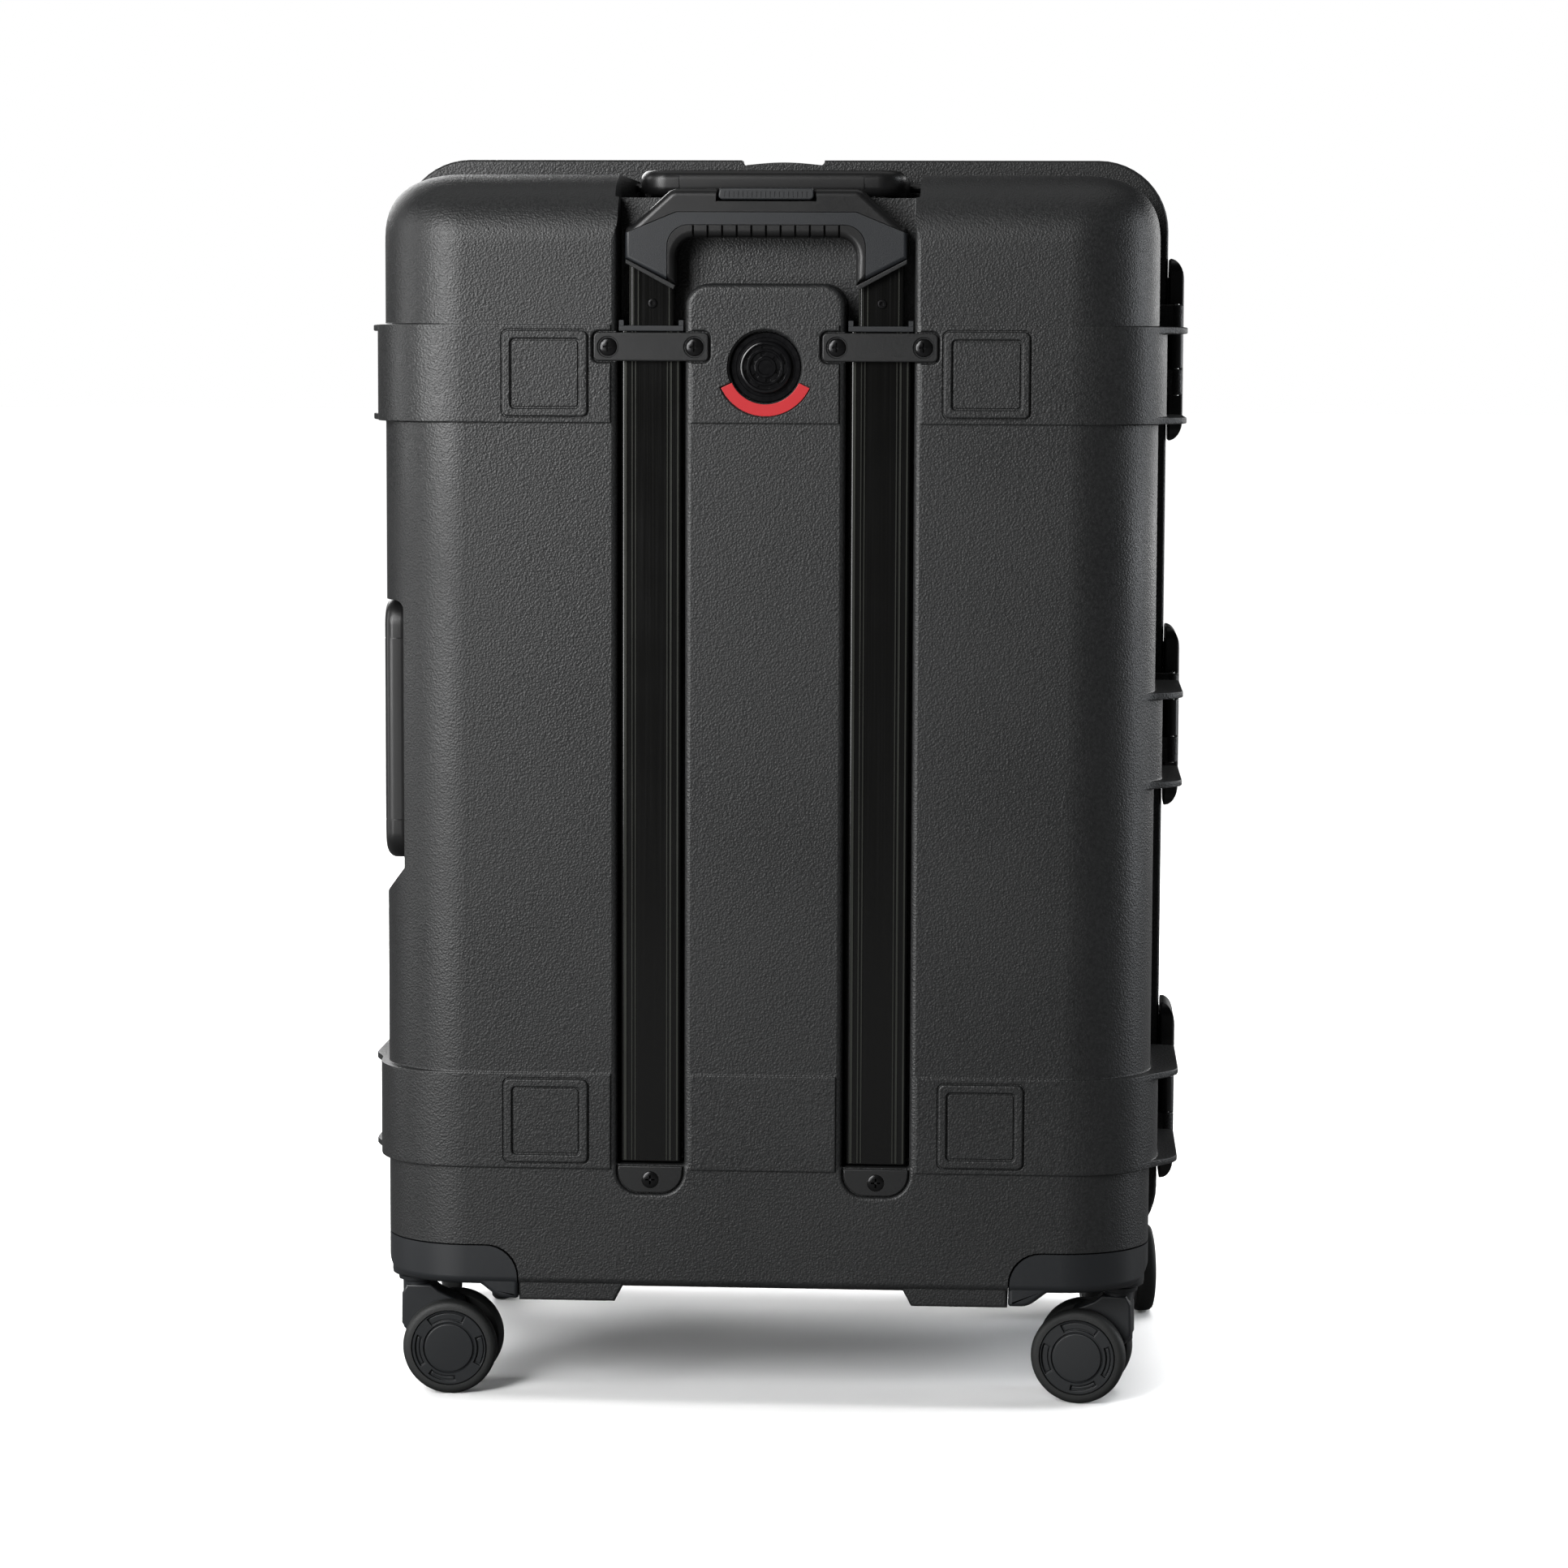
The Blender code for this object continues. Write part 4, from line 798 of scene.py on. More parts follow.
# ---------------------------------------------------------------- trolley handle
GUIDE_RIDGES = (           # (offset from the tube's middle, width)
    (-0.0165, 0.0016), (-0.0122, 0.0007), (-0.0100, 0.0007),
    (0.0104, 0.0007), (0.0127, 0.0012), (0.0172, 0.0010))
SLIDER_RIDGES = ((-0.0138, 0.0007), (-0.0116, 0.0006), (-0.0086, 0.0008), (0.0112, 0.0007))


def ridged_tube(name, node_name, ridges, body):
    """A drawn tube with fine ridges along its face."""
    (x0, y0, z0), (x1, y1, z1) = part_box(node_name)
    outline = rounded_rectangle((x0, y0 + 0.0006), (x1, y1), 0.0022, 4)
    tube = slab(name, outline, "Z", z0, z1, 0.0003, 0.0003)
    bore = rounded_rectangle((x0 + 0.0018, y0 + 0.0022), (x1 - 0.0018, y1 - 0.0016), 0.0010, 3)
    cut(tube, slab("bore", bore, "Z", z0 - 0.01, z1 + 0.01, 0.0001, 0.0001))
    finished(tube, "anodised", body, node_name)
    for i, (offset, width) in enumerate(ridges):
        middle = (x0 + x1) / 2 + offset
        low, high = (middle - width / 2, y0, z0 + 0.0006), (middle + width / 2, y0 + 0.0010, z1 - 0.0006)
        # each ridge takes the lighter metal, a painted highlight along the tube's face
        finished(box(f"{name}_ridge_{i}", low, high, 0.0002), "ridge_highlight", body)


def make_tubes():
    for label, side in (("left", -1), ("right", 1)):
        # the ridges aren't mirrored: both tubes are the same extrusion
        ridged_tube(f"guide_channel_{label}", f"guide_tube_{label}", GUIDE_RIDGES, "back_half")
        ridged_tube(f"sliding_tube_{label}", f"slider_tube_{label}", SLIDER_RIDGES, "trolley")
        make_collar(label, side)
        make_tube_screw(label)
        make_strap(label)
        make_foot(label, side)


def make_collar(label, side):
    """The plastic collar that the sliding tube comes out of, with its two tabs."""
    x = side * TUBE_X
    z = STRAP_Z[1] + 0.0008
    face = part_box(f"guide_tube_{label}")[0][1] - 0.0012
    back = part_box(f"slider_tube_{label}")[0][1] - 0.0004
    collar = box(f"guide_collar_{label}", (x - 0.0206, face, z), (x + 0.0206, back, z + 0.0036), 0.0005)
    for way in (-1, 1):
        low, high = sorted((x + way * 0.0206, x + way * 0.0176))
        join(collar, box("tab", (low, face + 0.0004, z + 0.001), (high, back + 0.002, z + 0.0072), 0.0006))
    finished(collar, "trim", "back_half", f"guide_bushing_{label}")


def make_tube_screw(label):
    """A small socket screw in the face of a sliding tube."""
    (x0, y0, _), (x1, _, _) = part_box(f"slider_tube_{label}")
    centre = ((x0 + x1) / 2 + 0.0005, y0 + 0.0006, 0.7155)
    head = lathe(f"tube_screw_{label}", (
        (0.0003, 0.0031), (-0.0004, 0.0031), (-0.0009, 0.0026), (-0.0010, 0.0020), (-0.0010, 0.0001)),
        centre, segments=32)
    socket = [(centre[0] + dx, centre[2] + dz) for dx, dz in arc((0, 0), 0.0014, 0, 300, 5)]
    cut(head, slab("hex socket", socket, "Y", centre[1] - 0.01, centre[1] - 0.0001, 0.0001, 0.0001))
    finished(head, "screw", "trolley")


def pan_head(name, centre, screw, radius=0.0059):
    """A cross-head screw's domed head, its back at the centre point and its crown towards -Y."""
    profile = [(0.0004, radius * 0.96), (0.0, radius)]
    for t in np.linspace(0.18, 1.0, 8):
        profile.append((-0.0017 * math.sin(t * math.pi / 2), radius * math.cos(t * math.pi / 2) ** 0.7))
    head = lathe(name, profile, centre, segments=40)
    x, y, z = centre
    for dx, dz in ((0.0030, 0.00055), (0.00055, 0.0030)):
        cut(head, box("slot", (x - dx, y - 0.004, z - dz), (x + dx, y - 0.0006, z + dz), 0.0001))
    cut(head, lathe("socket", ((-0.004, 0.0018), (-0.0004, 0.0007)), centre, segments=16))
    return finished(head, "screw", "back_half", screw, angle=40)


def make_strap(label):
    (x0, y0, z0), (x1, y1, z1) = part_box(f"guide_strap_{label}")
    outline = rounded_rectangle((x0, z0), (x1, z1), 0.0032)
    strap = slab(f"tube_strap_{label}", outline, "Y", y0, y1, 0.0009, 0.0003)
    seat = ((-0.01, 0.0071), (-0.0001, 0.0071), (0.0005, 0.0066), (0.0011, 0.0066))
    for place in ("inner", "outer"):
        screw = f"strap_screw_{label}_{place}"
        x, _, z = centre_of(screw)
        cut(strap, lathe("seat", seat, (x, y0, z), segments=40))
        pan_head(f"strap_bolt_{label}_{place}", (x, y0 + 0.0010, z), screw)
    finished(strap, "coat", "back_half", f"guide_strap_{label}")


def make_foot(label, side):
    x = side * TUBE_X
    (_, y0, _), (_, y1, _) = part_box(f"guide_foot_{label}")
    foot = slab(f"channel_foot_{label}", foot_outline(x, FOOT_R), "Y", y0, y1, 0.0008, 0.0002)
    z = centre_of(f"foot_screw_{label}")[2]
    pan_head(f"foot_bolt_{label}", (x, y0 + 0.0006, z), f"foot_screw_{label}")
    finished(foot, "coat", "back_half", f"guide_foot_{label}")


GRIP_LOW, GRIP_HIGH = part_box("trolley_grip")
GRIP_HALF_W = GRIP_HIGH[0]
OPENING_HALF_W, OPENING_TOP = 0.0572, 0.7572
OPENING_R = 0.0120
SEAM = ((0.0575, 0.7735), (GRIP_HALF_W + 0.01, 0.7560))     # seam of soft top and hard face, to the right


def grip_outline():
    """The grip from the front: sloping shoulders, and legs whose ends are cut on a slant."""
    w, top = GRIP_HALF_W, GRIP_HIGH[2]
    right = (
        [(0.0480, top)]
        + arc((0.0560, top - 0.0110), 0.0110, 84, 56, 4)
        + [(w - 0.0040, 0.7645)] + arc((w - 0.0040, 0.7605), 0.0040, 60, 0, 3)
        + [(w, 0.7440), (OPENING_HALF_W, 0.7272)]
        + arc((OPENING_HALF_W - OPENING_R, OPENING_TOP - OPENING_R), OPENING_R, 0, 90, 10)
    )
    return right + mirrored(reversed(right))


def grip_solid(name, rim):
    return slab(name, grip_outline(), "Y", GRIP_LOW[1], GRIP_HIGH[1] - 0.0002, rim, 0.0030, 6)


def hard_face(name, shrink, depth):
    """The region of the grip's hard face, as a cutter: below the seam and outside the soft rim."""
    far, low, rim, knee = 0.12, 0.70, OPENING_HALF_W + 0.0058, 0.0135
    (inner_x, inner_z), (outer_x, outer_z) = SEAM
    right = (
        [(inner_x - shrink, inner_z - shrink), (outer_x, outer_z - shrink), (far, low), (rim + shrink, low)]
        + arc((rim - knee, 0.7515), knee + shrink, 0, 90, 12)
    )
    face = GRIP_LOW[1]
    return slab(name, right + mirrored(reversed(right)), "Y", face - 0.01, face + depth, 0.0001, 0.0001)


def cut_tube_sockets(part):
    for label in ("left", "right"):
        (x0, y0, _), (x1, y1, z1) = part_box(f"slider_tube_{label}")
        low, high = (x0 - 0.0003, y0 - 0.0003, 0.70), (x1 + 0.0003, y1 + 0.0003, z1 + 0.0003)
        cut(part, box("tube socket", low, high, 0.0002))


def make_grip():
    soft = grip_solid("grip_soft_body", 0.0048)
    cut(soft, hard_face("plate seat", 0.0, 0.0034))
    cut_tube_sockets(soft)
    (x0, _, z0), (x1, y1, _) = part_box("release_button")
    low, high = z0 - 0.0010, 0.80
    button_room = [(x0 - 0.0016, low), (x1 + 0.0016, low), (x1 + 0.0006, high), (x0 - 0.0006, high)]
    cut(soft, slab("button room", button_room, "Y", GRIP_LOW[1] - 0.01, y1 + 0.0027, 0.0001, 0.0001))
    cut_finger_grooves(soft)
    finished(soft, "soft", "trolley", "trolley_grip", angle=40)
    plate = grip_solid("grip_face_plate", 0.0028)
    boolean(plate, "INTERSECT", [hard_face("plate region", 0.0004, 0.0032)])
    cut_tube_sockets(plate)
    finished(plate, "grip", "trolley", angle=40)
    make_leg_trims()
    make_button()


def cut_finger_grooves(soft):
    """Short grooves across the rounded lower edge of the grip's bar."""
    face, pitch, count, half_width = GRIP_LOW[1], 0.0093, 11, 0.0007
    groove = [(face + depth, z) for depth, z in (
        (-0.01, 0.7649), (0.0012, 0.7649), (0.0060, 0.7596), (0.0060, 0.7500), (-0.01, 0.7500))]
    for i in range(count):
        x = (i - (count - 1) / 2) * pitch
        cut(soft, slab("finger groove", groove, "X", x - half_width, x + half_width, 0.0002, 0.0002))


def make_leg_trims():
    """Slanted trims at the lower ends of the grip's legs."""
    face, thickness = GRIP_LOW[1], 0.0030
    outer = GRIP_HALF_W - 0.0004
    for label, side in (("left", -1), ("right", 1)):
        outline = [(side * x, z) for x, z in (
            (outer, 0.7436), (outer, 0.7408), (0.0592, 0.7243), (0.0577, 0.7270))]
        trim = slab(f"grip_leg_trim_{label}", outline, "Y", face + 0.0006, face + thickness, 0.0004, 0.0002)
        finished(trim, "coat", "trolley")


def make_button():
    (x0, y0, z0), (x1, y1, z1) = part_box("release_button")
    corner, rib_pitch, rib_count = 0.0030, 0.0029, 19
    outline = (
        arc((x0 + corner, z0 + corner), corner, 180, 270, 5)
        + arc((x1 - corner, z0 + corner), corner, 270, 360, 5)
        + [(x1 - 0.0010, z1), (x0 + 0.0010, z1)]
    )
    button = slab("grip_button", outline, "Y", y0, y1, 0.0010, 0.0010)
    for i in range(rib_count):
        x = (i - (rib_count - 1) / 2) * rib_pitch
        low, high = (x - 0.0004, y0 - 0.005, z0 + 0.0016), (x + 0.0004, y0 + 0.0004, z1 - 0.0022)
        cut(button, box("button groove", low, high, 0.0001))
    finished(button, "trim", "release_button", "release_button")


# ---------------------------------------------------------------- valve
def make_valve():
    flange_y = BACK_Y + 0.0038
    body = lathe("valve_seat", (
        (BACK_Y + 0.0066, 0.0224), (flange_y + 0.0006, 0.0224), (flange_y, 0.0218), (flange_y, 0.0190),
        (flange_y + 0.0004, 0.0186), (flange_y + 0.0004, 0.0100)), (0, 0, VALVE_Z), segments=72)
    finished(body, "gloss", "back_half", "valve_body")
    top = BACK_Y + 0.0002
    cap = lathe("valve_knob", (
        (flange_y, 0.0163), (flange_y - 0.0006, 0.0168), (top + 0.0014, 0.0168), (top + 0.0005, 0.0164),
        (top, 0.0156), (top, 0.0146), (top + 0.0010, 0.0140), (top + 0.0010, 0.0118), (top + 0.0002, 0.0114),
        (top + 0.0002, 0.0103), (top + 0.0014, 0.0097), (top + 0.0014, 0.0070), (top + 0.0003, 0.0065),
        (top + 0.0003, 0.0050), (top + 0.0010, 0.0045), (top + 0.0010, 0.0001)),
        (0, 0, VALVE_Z), segments=72)
    for i in range(6):
        for start, sweep, outer, inner, steps, depth in (
                (i * 60 + 8, 34, 0.0137, 0.0121, 6, 0.0022), (i * 60 + 30, 22, 0.0094, 0.0073, 4, 0.0026)):
            slot = ring_sector((0, VALVE_Z), inner, outer, start, start + sweep, steps)
            cut(cap, slab("slot", slot, "Y", BACK_Y - 0.01, top + depth, 0.0001, 0.0001))
    finished(cap, "gloss", "back_half", "valve_cap")
    badge = slab("valve_label", badge_outline(0.0), "Y", BACK_Y - 0.0003, BACK_Y + 0.0006, 0.0003, 0.0001)
    finished(badge, "red", "back_half", "valve_badge")


# ---------------------------------------------------------------- casters
CORNERS = ("back_left", "back_right", "front_left", "front_right")


def make_housing(corner):
    """The moulded corner over a caster: part of the body's outline, with a lip down to the skid."""
    side = -1 if corner.startswith("back") else 1
    body = "back_half" if side < 0 else "lid"
    way = -1 if corner.endswith("left") else 1
    x, y, _ = JOINTS[f"caster_{corner}_swivel"]["pos_m"]
    face = face_of(side)
    low, high = sorted((face + side * 0.01, face - side * 0.0948))
    outline = arc((HALF_W - 0.0178, BOTTOM_Z + 0.0190), 0.0190, -90, 0, 8) + housing_outline(-0.0004)[1:]
    outline = [(way * a, b) for a, b in outline]
    housing = rounded_body(f"caster_corner_{corner}", side)
    boolean(housing, "INTERSECT", [slab("limits", outline, "Y", low, high, 0.0001, 0.0008)])
    lip_start, lip_drop = (0.1685, 0.0690), 0.0020
    slope = [(lip_start[0] + 0.0235 * t, lip_start[1] + 0.0059 * (1 - math.cos(t * math.pi)))
             for t in np.linspace(0.1, 1, 10)]
    lip = (
        [(0.1597, 0.0900), (0.1597, 0.0708)] + arc((0.1617, 0.0710), lip_drop, 180, 270, 4)[1:]
        + [lip_start] + slope + [(0.1980, 0.0900)]
    )
    lip_low, lip_high = sorted((face - side * 0.0012, face - side * 0.0930))
    edges = (0.0030, 0.0012) if side < 0 else (0.0012, 0.0030)
    join(housing, slab("lip", [(way * a, b) for a, b in lip], "Y", lip_low, lip_high, *edges))
    join(housing, lathe("collar", (
        (0.0765, 0.0150), (0.0772, 0.0160), (0.0792, 0.0164), (0.0950, 0.0164)), (x, y, 0), "Z", 48))
    return finished(housing, "trim", body, f"caster_housing_{corner}")


def caster_frame(corner):
    """Places a piece drawn with its kingpin on the Z axis and its wheels trailing along +X."""
    pivot = JOINTS[f"caster_{corner}_swivel"]["pos_m"]
    axle = JOINTS[f"wheel_{corner}_outer_spin"]
    trail = Vector((axle["pos_m"][0] - pivot[0], axle["pos_m"][1] - pivot[1], 0))
    turn = Matrix.Rotation(math.atan2(trail.y, trail.x), 4, "Z")
    return Matrix.Translation((pivot[0], pivot[1], 0)) @ turn, trail.length, axle["pos_m"][2]


def make_fork(corner):
    place, trail, height = caster_frame(corner)
    post = lathe(f"caster_yoke_{corner}", (
        (0.0380, 0.0080), (0.0400, 0.0094), (0.0716, 0.0096), (0.0722, 0.0100), (0.0728, 0.0122),
        (0.0752, 0.0126), (0.0759, 0.0120)), (0, 0, 0), "Z", 48)
    arm = (
        [(-0.0092, 0.0640), (-0.0094, 0.0440), (-0.0020, 0.0330)]
        + arc((trail, height), 0.0140, 215, 395, 14)
        + [(trail + 0.0060, 0.0590), (0.0150, 0.0660), (0.0100, 0.0700), (-0.0060, 0.0700)]
    )
    join(post, slab("arm", arm, "Y", -0.0102, 0.0102, 0.0016, 0.0016))
    post.data.transform(place)
    return finished(post, "trim", f"caster_{corner}", f"caster_fork_{corner}")


WHEEL_W = 0.0140
WHEEL_INNER = 0.0110
WHEEL_POCKETS = (          # start and end in degrees, inner and outer radius
    (62, 128, 0.0182, 0.0238),
    (158, 214, 0.0190, 0.0226),
    (232, 282, 0.0186, 0.0222),
    (-30, 22, 0.0186, 0.0236),
)


def make_wheel(corner, which):
    """A twin wheel: a tyre round a hub with a ring of cut-outs and a cap."""
    place, trail, height = caster_frame(corner)
    way = -1 if which == "outer" else 1
    near, far = WHEEL_INNER, WHEEL_INNER + WHEEL_W
    tyre = lathe("tyre", (
        (near + 0.0002, 0.0250), (near + 0.0004, 0.0284), (near + 0.0020, 0.0303), (near + 0.0045, 0.0310),
        (far - 0.0045, 0.0310), (far - 0.0022, 0.0305), (far - 0.0008, 0.0292), (far - 0.0003, 0.0272),
        (far - 0.0003, 0.0252), (far - 0.0012, 0.0248), (far - 0.0030, 0.0248)), (0, 0, 0), segments=96)
    hub = lathe("hub", (
        (near, 0.0060), (near, 0.0245), (far - 0.0008, 0.0245), (far - 0.0003, 0.0241),
        (far - 0.0003, 0.0172), (far - 0.0010, 0.0168), (far - 0.0016, 0.0166), (far - 0.0016, 0.0160),
        (far - 0.0002, 0.0157), (far, 0.0152), (far, 0.0001)), (0, 0, 0), segments=96)
    for start, end, inner, outer in WHEEL_POCKETS:
        pocket = ring_sector((0, 0), inner, outer, start, end, 10)
        cut(hub, flared("pocket", pocket, "Y", far - 0.0022, far - 0.0003, far + 0.01, 0.0003, 0.0003))
        raised = ring_sector((0, 0), inner + 0.0009, outer - 0.0009, start + 3, end - 3, 10)
        join(hub, slab("pocket fill", raised, "Y", far - 0.0030, far - 0.0012, 0.0001, 0.0004))
    flip = Matrix.Scale(way, 4, (0, 1, 0))
    centre = place @ Matrix.Translation((trail, 0, height))
    name = f"{corner}_{which}"
    body, node_name = f"wheel_{name}", f"caster_wheel_{name}"
    for obj, label, finish, nodes in (
            (tyre, "tyre", "tyre", [node_name]), (hub, "hub", "hub", [])):
        obj.name = f"caster_{label}_{name}"
        obj.data.transform(centre @ flip)
        if way < 0:
            obj.data.flip_normals()
        finished(obj, finish, body, *nodes)


# ---------------------------------------------------------------- carry handles
HANDLE_THICK = 0.0170


def handle_outline():
    """A handle lying flat: length on the first axis, distance from the pivot on the second."""
    bar, arm, reach, half = 0.0240, 0.0190, 0.1000, 0.0865
    bend, hollow_bend, chamfer = 0.018, 0.012, 0.005
    end, inner, edge = -HANDLE_THICK / 2, half - arm, reach - bar
    right = (
        [(half - chamfer, end), (half, end + chamfer), (half, reach - bend)]
        + arc((half - bend, reach - bend), bend, 0, 90, 8)[1:]
    )
    hollow = (
        arc((inner - hollow_bend, edge - hollow_bend), hollow_bend, 90, 0, 8)
        + [(inner, end + chamfer), (inner + chamfer, end)]
    )
    return right + mirrored(reversed(right)) + mirrored(reversed(hollow)) + hollow


def make_handles():
    high, edge, seam_x, seam_half_width = HANDLE_THICK / 2, 0.0062, 0.0600, 0.0004
    # slots across the bar's two faces and its outer edge, as (y, z) corners
    seams = (
        ((0.0700, -0.02), (0.11, -0.0079)), ((0.0700, 0.0079), (0.11, 0.02)),
        ((0.0994, -0.02), (0.12, 0.02)))
    for name, pose in (
            ("top_handle", Matrix(((-1, 0, 0), (0, -1, 0), (0, 0, 1)))),
            ("side_handle", Matrix(((0, 0, -1), (0, -1, 0), (-1, 0, 0))))):
        place = Matrix.Translation(JOINTS[f"{name}_hinge"]["pos_m"]) @ pose.to_4x4()
        handle = slab(f"{name}_bail", handle_outline(), "Z", -high, high, edge, edge, 6)
        # ends of the soft sleeve round the bar
        for x, (start, end) in product((-seam_x, seam_x), seams):
            seam = box("sleeve seam", (x - seam_half_width, *start), (x + seam_half_width, *end), 0.0001)
            cut(handle, seam)
        handle.data.transform(place)
        finished(handle, "soft", name, name, angle=40)


# ---------------------------------------------------------------- hinges and latches
def make_latch(name):
    """A latch lever whose ends curve in to the flange, with its hook, its knuckle and a finger pad."""
    (x0, _, z0), (x1, y1, z1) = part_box(name)
    x, y, z = JOINTS[f"{name}_hinge"]["pos_m"]
    back, inner, end_curve = 0.2604, 0.2640, 0.0150
    plate = rounded_rectangle((-0.0180, z0), (y1, z1), 0.0090, 8)
    lever = slab(f"{name}_lever", plate, "X", back, x1, 0.0010, 0.0020, 4)
    bow = [(back + (x1 - back) * math.sin(t), end_curve * (1 - math.cos(t)))
           for t in np.linspace(0, math.pi / 2, 9)]
    profile = [(a, z0 + b) for a, b in bow] + [(a, z1 - b) for a, b in reversed(bow)]
    boolean(lever, "INTERSECT", [slab("bow", profile, "Y", -0.03, 0.04, 0.0001, 0.0001)])
    cut(lever, box("hollow", (0.25, -0.0152, z0 + 0.0090), (inner, y1 - 0.0030, z1 - 0.0090), 0.0008))
    join(lever, box("hook", (x0 + 0.0001, 0.0128, z0 + 0.012), (inner + 0.001, 0.0186, z1 - 0.012), 0.0008))
    join(lever, knuckle(z - 0.0122, z + 0.0122, 0.0044, x, y, 0.0005))
    join(lever, box("tongue", (x - 0.0008, y, z - 0.0120), (x + 0.0040, -0.0160, z + 0.0120), 0.0004))
    dish = rounded_rectangle((-0.0110, z0 + 0.014), (y1 - 0.0085, z1 - 0.014), 0.0050, 6)
    cut(lever, flared("dish", dish, "X", x1 - 0.0016, x1, x1 + 0.01, 0.0010, 0.0008))
    for i in range(5):
        at = z + (i - 2) * 0.0052
        low, high = (x1 - 0.0018, -0.0040, at - 0.0009), (x1 - 0.0004, 0.0140, at + 0.0009)
        join(lever, box("grip line", low, high, 0.0004))
    finished(lever, "coat", name, name, angle=40)


def knuckle(low, high, radius, x, y, depth=0.0004):
    """A round eye along Z, with its two rims chamfered."""
    rim = radius - 0.0004
    profile = ((low, rim), (low + depth, radius), (high - depth, radius), (high, rim))
    return lathe("knuckle", profile, (x, y, 0), "Z", 28)


def make_hinge_leaf(half, name):
    """Half of a hinge: the back's leaf has the two outer knuckles, the lid's has the middle one."""
    way, body = (-1, "back_half") if half == "back" else (1, "lid")
    node_name = f"hinge_leaf_{half}_{name}"
    (_, y0, z0), (x1, y1, z1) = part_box(node_name)
    plate_x, pin_x, gap = -0.2598, -0.2655, 0.0004
    low, high = sorted((way * 0.0008, way * max(abs(y0), abs(y1))))
    outline = rounded_rectangle((low, z0), (high, z1), 0.0020, 4)
    leaf = slab(f"{node_name}_plate", outline, "X", plate_x, x1, 0.0006, 0.0003)
    first, second = z0 + (z1 - z0) / 3, z0 + 2 * (z1 - z0) / 3
    spans = [(z0, first - gap), (second + gap, z1)] if half == "back" else [(first, second)]
    web_low, web_high = sorted((way * 0.0009, way * 0.0042))
    for a, b in spans:
        join(leaf, knuckle(a, b, 0.0045, pin_x, 0))
        join(leaf, box("web", (pin_x, web_low, a + 0.0002), (-0.2585, web_high, b - 0.0002), 0.0002))
    finished(leaf, "coat", body, node_name)
    dome = ((0.0004, 0.0038), (0.0, 0.0040), (-0.0007, 0.0036), (-0.0012, 0.0022), (-0.0013, 0.0001))
    for i, at in enumerate((z0 + 0.013, z1 - 0.013)):
        rivet = lathe(f"hinge_rivet_{half}_{name}_{i}", dome, (plate_x, way * 0.034, at), "X", 28)
        finished(rivet, "screw", body)


# ---------------------------------------------------------------- camera, floor and light
def make_camera():
    data = bpy.data.cameras.new("camera")
    data.lens = 100.4
    data.sensor_width = 36.0
    camera = bpy.data.objects.new("camera", data)
    bpy.context.scene.collection.objects.link(camera)
    camera.location = (0.1825, BACK_Y - 2.790, 0.692)
    yaw, pitch, roll = 0.0607, 0.1010, 0.004
    turn = Matrix.Rotation(yaw, 4, "Z")
    turn @= Matrix.Rotation(math.pi / 2 - pitch, 4, "X")
    turn @= Matrix.Rotation(roll, 4, "Z")
    camera.matrix_world = Matrix.Translation(camera.location) @ turn
    bpy.context.scene.camera = camera


def area_light(name, place, target, size, power, colour=(1.0, 1.0, 1.0)):
    data = bpy.data.lights.new(name, "AREA")
    data.shape = "RECTANGLE"
    data.size, data.size_y = size
    data.energy = power
    data.color = colour
    light = bpy.data.objects.new(name, data)
    bpy.context.scene.collection.objects.link(light)
    way = Vector(target) - Vector(place)
    light.matrix_world = Matrix.Translation(place) @ way.to_track_quat("-Z", "Y").to_matrix().to_4x4()
    return light


def camera_sees(tree, seen, otherwise, output):
    """Shows one shader to the camera and another one to everything that reflects it."""
    path = node(tree, "ShaderNodeLightPath")
    mix = node(tree, "ShaderNodeMixShader")
    tree.links.new(path.outputs["Is Camera Ray"], mix.inputs["Fac"])
    tree.links.new(otherwise.outputs[0], mix.inputs[1])
    tree.links.new(seen.outputs[0], mix.inputs[2])
    tree.links.new(mix.outputs[0], tree.nodes[output].inputs["Surface"])


def make_floor():
    finish, tree, shader = shader_setup("studio_floor", (0.90, 0.90, 0.90), 0.7)
    dim = node(tree, "ShaderNodeBsdfDiffuse", Color=(0.06, 0.06, 0.06, 1.0))
    camera_sees(tree, shader, dim, "Material Output")
    floor = loft("studio_floor", [
        [(-30, -30, -0.02), (30, -30, -0.02), (30, 40, -0.02), (-30, 40, -0.02)],
        [(-30, -30, 0.0), (30, -30, 0.0), (30, 40, 0.0), (-30, 40, 0.0)],
    ])
    floor.data.materials.append(finish)
    # a soft overhead light that only the floor takes, so that it stays pale under a dark studio
    lit = bpy.data.collections.new("lit_floor")
    lit.objects.link(floor)
    data = bpy.data.lights.new("floor_light", "SUN")
    data.energy = 4.1
    data.angle = math.radians(50)
    sun = bpy.data.objects.new("floor_light", data)
    bpy.context.scene.collection.objects.link(sun)
    sun.rotation_euler = (math.radians(-12), math.radians(6), 0)
    sun.light_linking.receiver_collection = lit


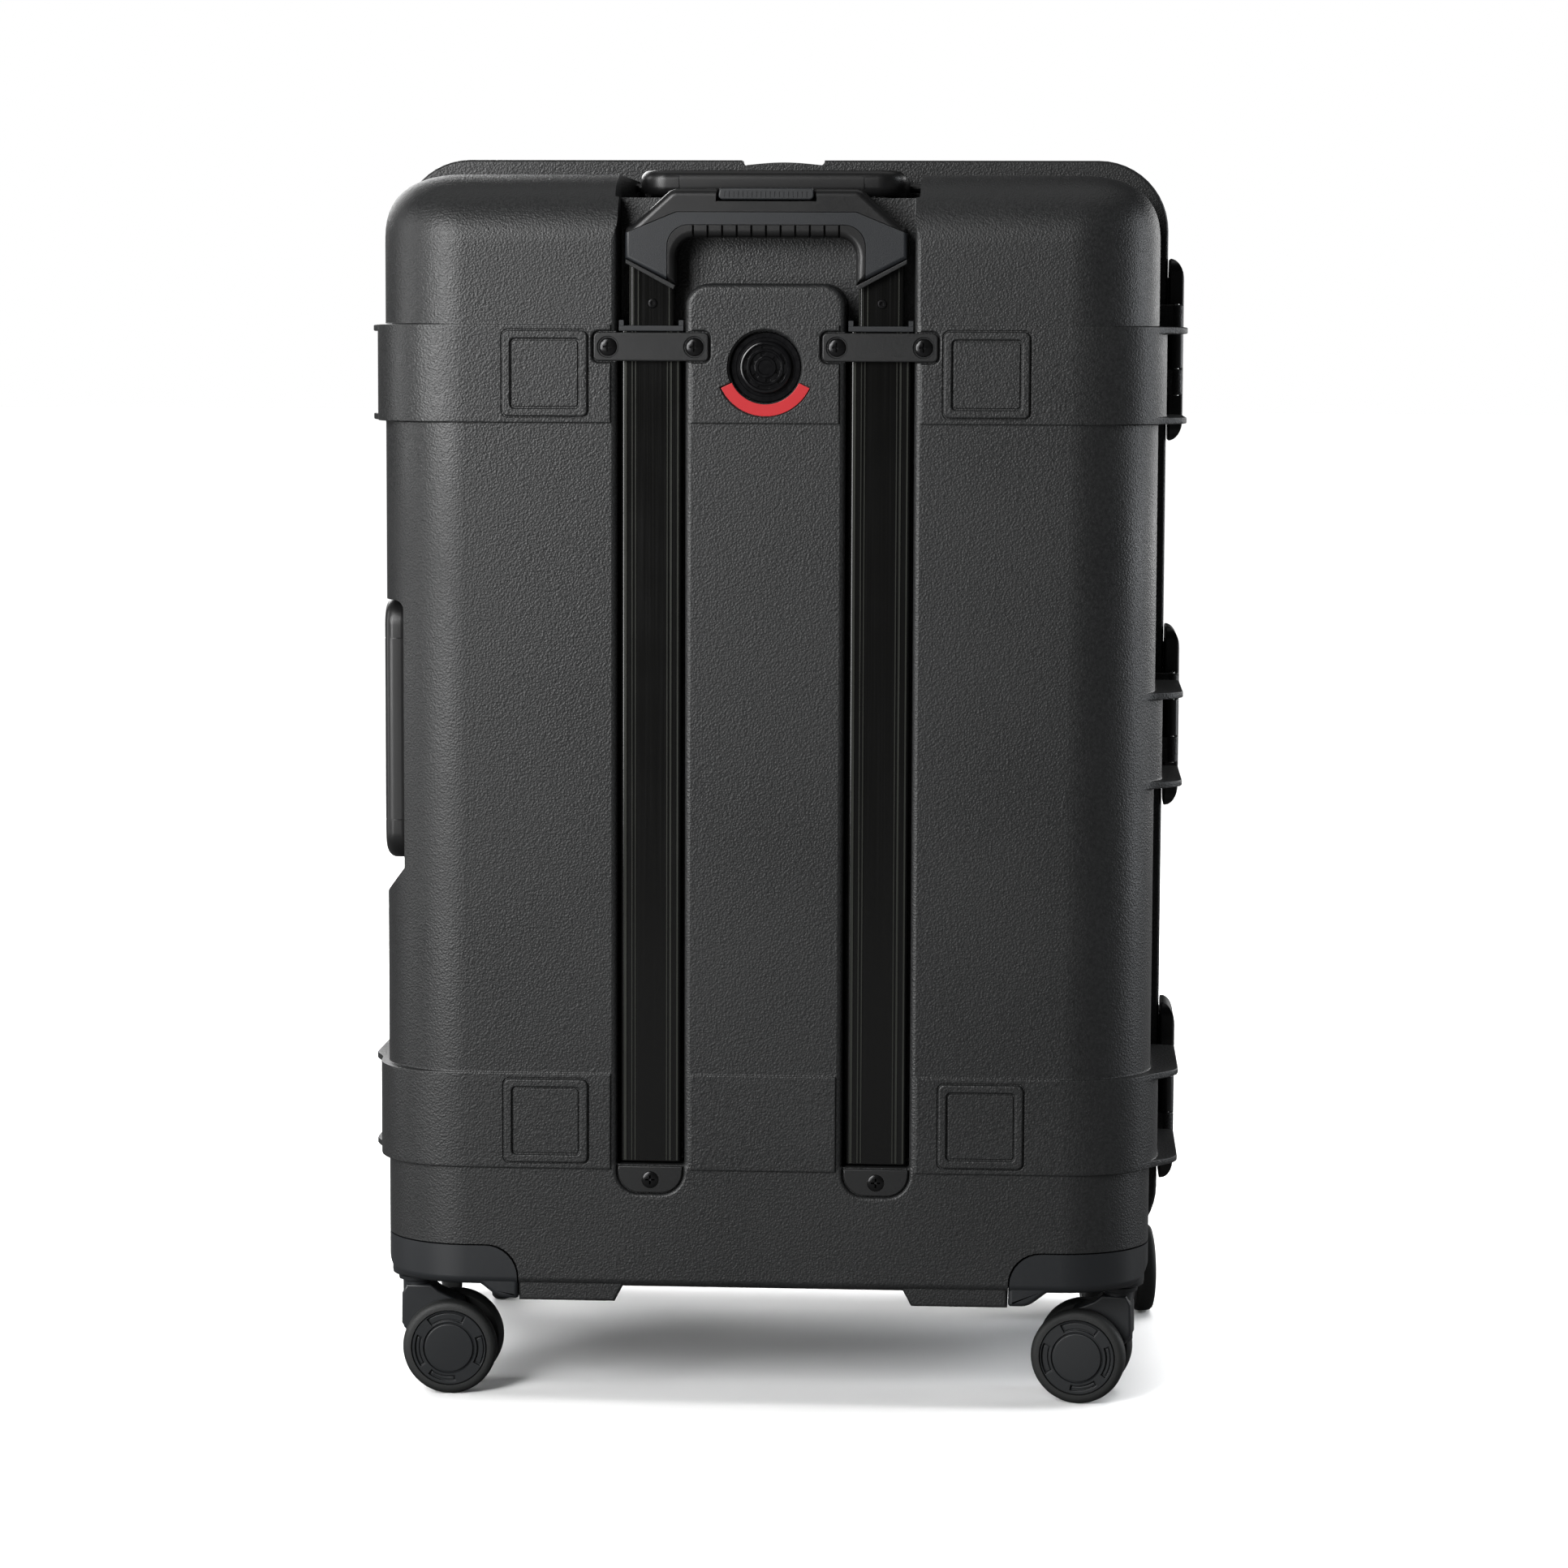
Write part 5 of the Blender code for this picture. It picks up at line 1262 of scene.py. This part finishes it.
def make_world():
    """White where the camera sees it, and a dim studio for what the case reflects."""
    world = bpy.data.worlds.new("studio")
    world.use_nodes = True
    tree = world.node_tree
    seen = tree.nodes["Background"]
    seen.inputs["Color"].default_value = (1.0, 1.0, 1.0, 1.0)
    seen.inputs["Strength"].default_value = 1.0
    room = node(tree, "ShaderNodeBackground", Color=(1.0, 1.0, 1.0, 1.0), Strength=0.018)
    camera_sees(tree, seen, room, "World Output")
    bpy.context.scene.world = world


def studio_place(azimuth, distance, height):
    """A place round the case: azimuth 0 is in front of the trolley side, positive towards +X."""
    turn = math.radians(azimuth)
    return (distance * math.sin(turn), BACK_Y - distance * math.cos(turn), height)


def make_studio():
    make_floor()
    make_world()
    bpy.context.scene.view_settings.view_transform = "Standard"
    middle = (0, 0, 0.45)
    tall, wide = (0.7, 1.5), (1.6, 1.2)
    area_light("softbox_high", studio_place(-26, 2.4, 1.8), middle, tall, 36)
    area_light("softbox_low", studio_place(-25, 2.4, 0.9), middle, tall, 9)
    area_light("softbox_left", studio_place(-40, 2.4, 0.9), middle, tall, 40)
    area_light("edge_left", studio_place(-88, 2.6, 0.9), middle, (0.7, 2.2), 23)
    area_light("edge_right", studio_place(101, 2.4, 0.8), middle, (0.5, 2.0), 22, (0.93, 0.96, 1.0))
    area_light("softbox_top", (0.0, 0.4, 2.8), middle, (2.4, 1.4), 6)
    area_light("behind_left", studio_place(-152, 2.9, 1.7), middle, wide, 42)
    area_light("behind_right", studio_place(140, 2.9, 0.9), middle, wide, 18)


make_camera()
make_studio()
make_materials()
make_back_shell()
make_lid()
make_tubes()
make_grip()
make_valve()
for corner in CORNERS:
    make_housing(corner)
    make_fork(corner)
    for which in ("outer", "inner"):
        make_wheel(corner, which)
make_handles()
for name in ("upper", "middle", "lower"):
    make_latch(f"latch_{name}")
for half in ("back", "lid"):
    for name in ("upper", "lower"):
        make_hinge_leaf(half, name)

PLAIN = {
    "trim_plastic": "trim", "soft_grip": "soft", "black_aluminium": "anodised", "dark_steel": "coat",
    "bright_steel": "steel", "gloss_plastic": "gloss", "wheel_rubber": "tyre", "seal_rubber": "seal",
    "red_label": "red", "shell_plastic": "shell",
}
for part in frame["record"]["subparts"]:
    obj = frame["nodes"][part["node"]]
    obj.data.materials.clear()
    obj.data.materials.append(MATERIALS[PLAIN[part["material_slot"]]])
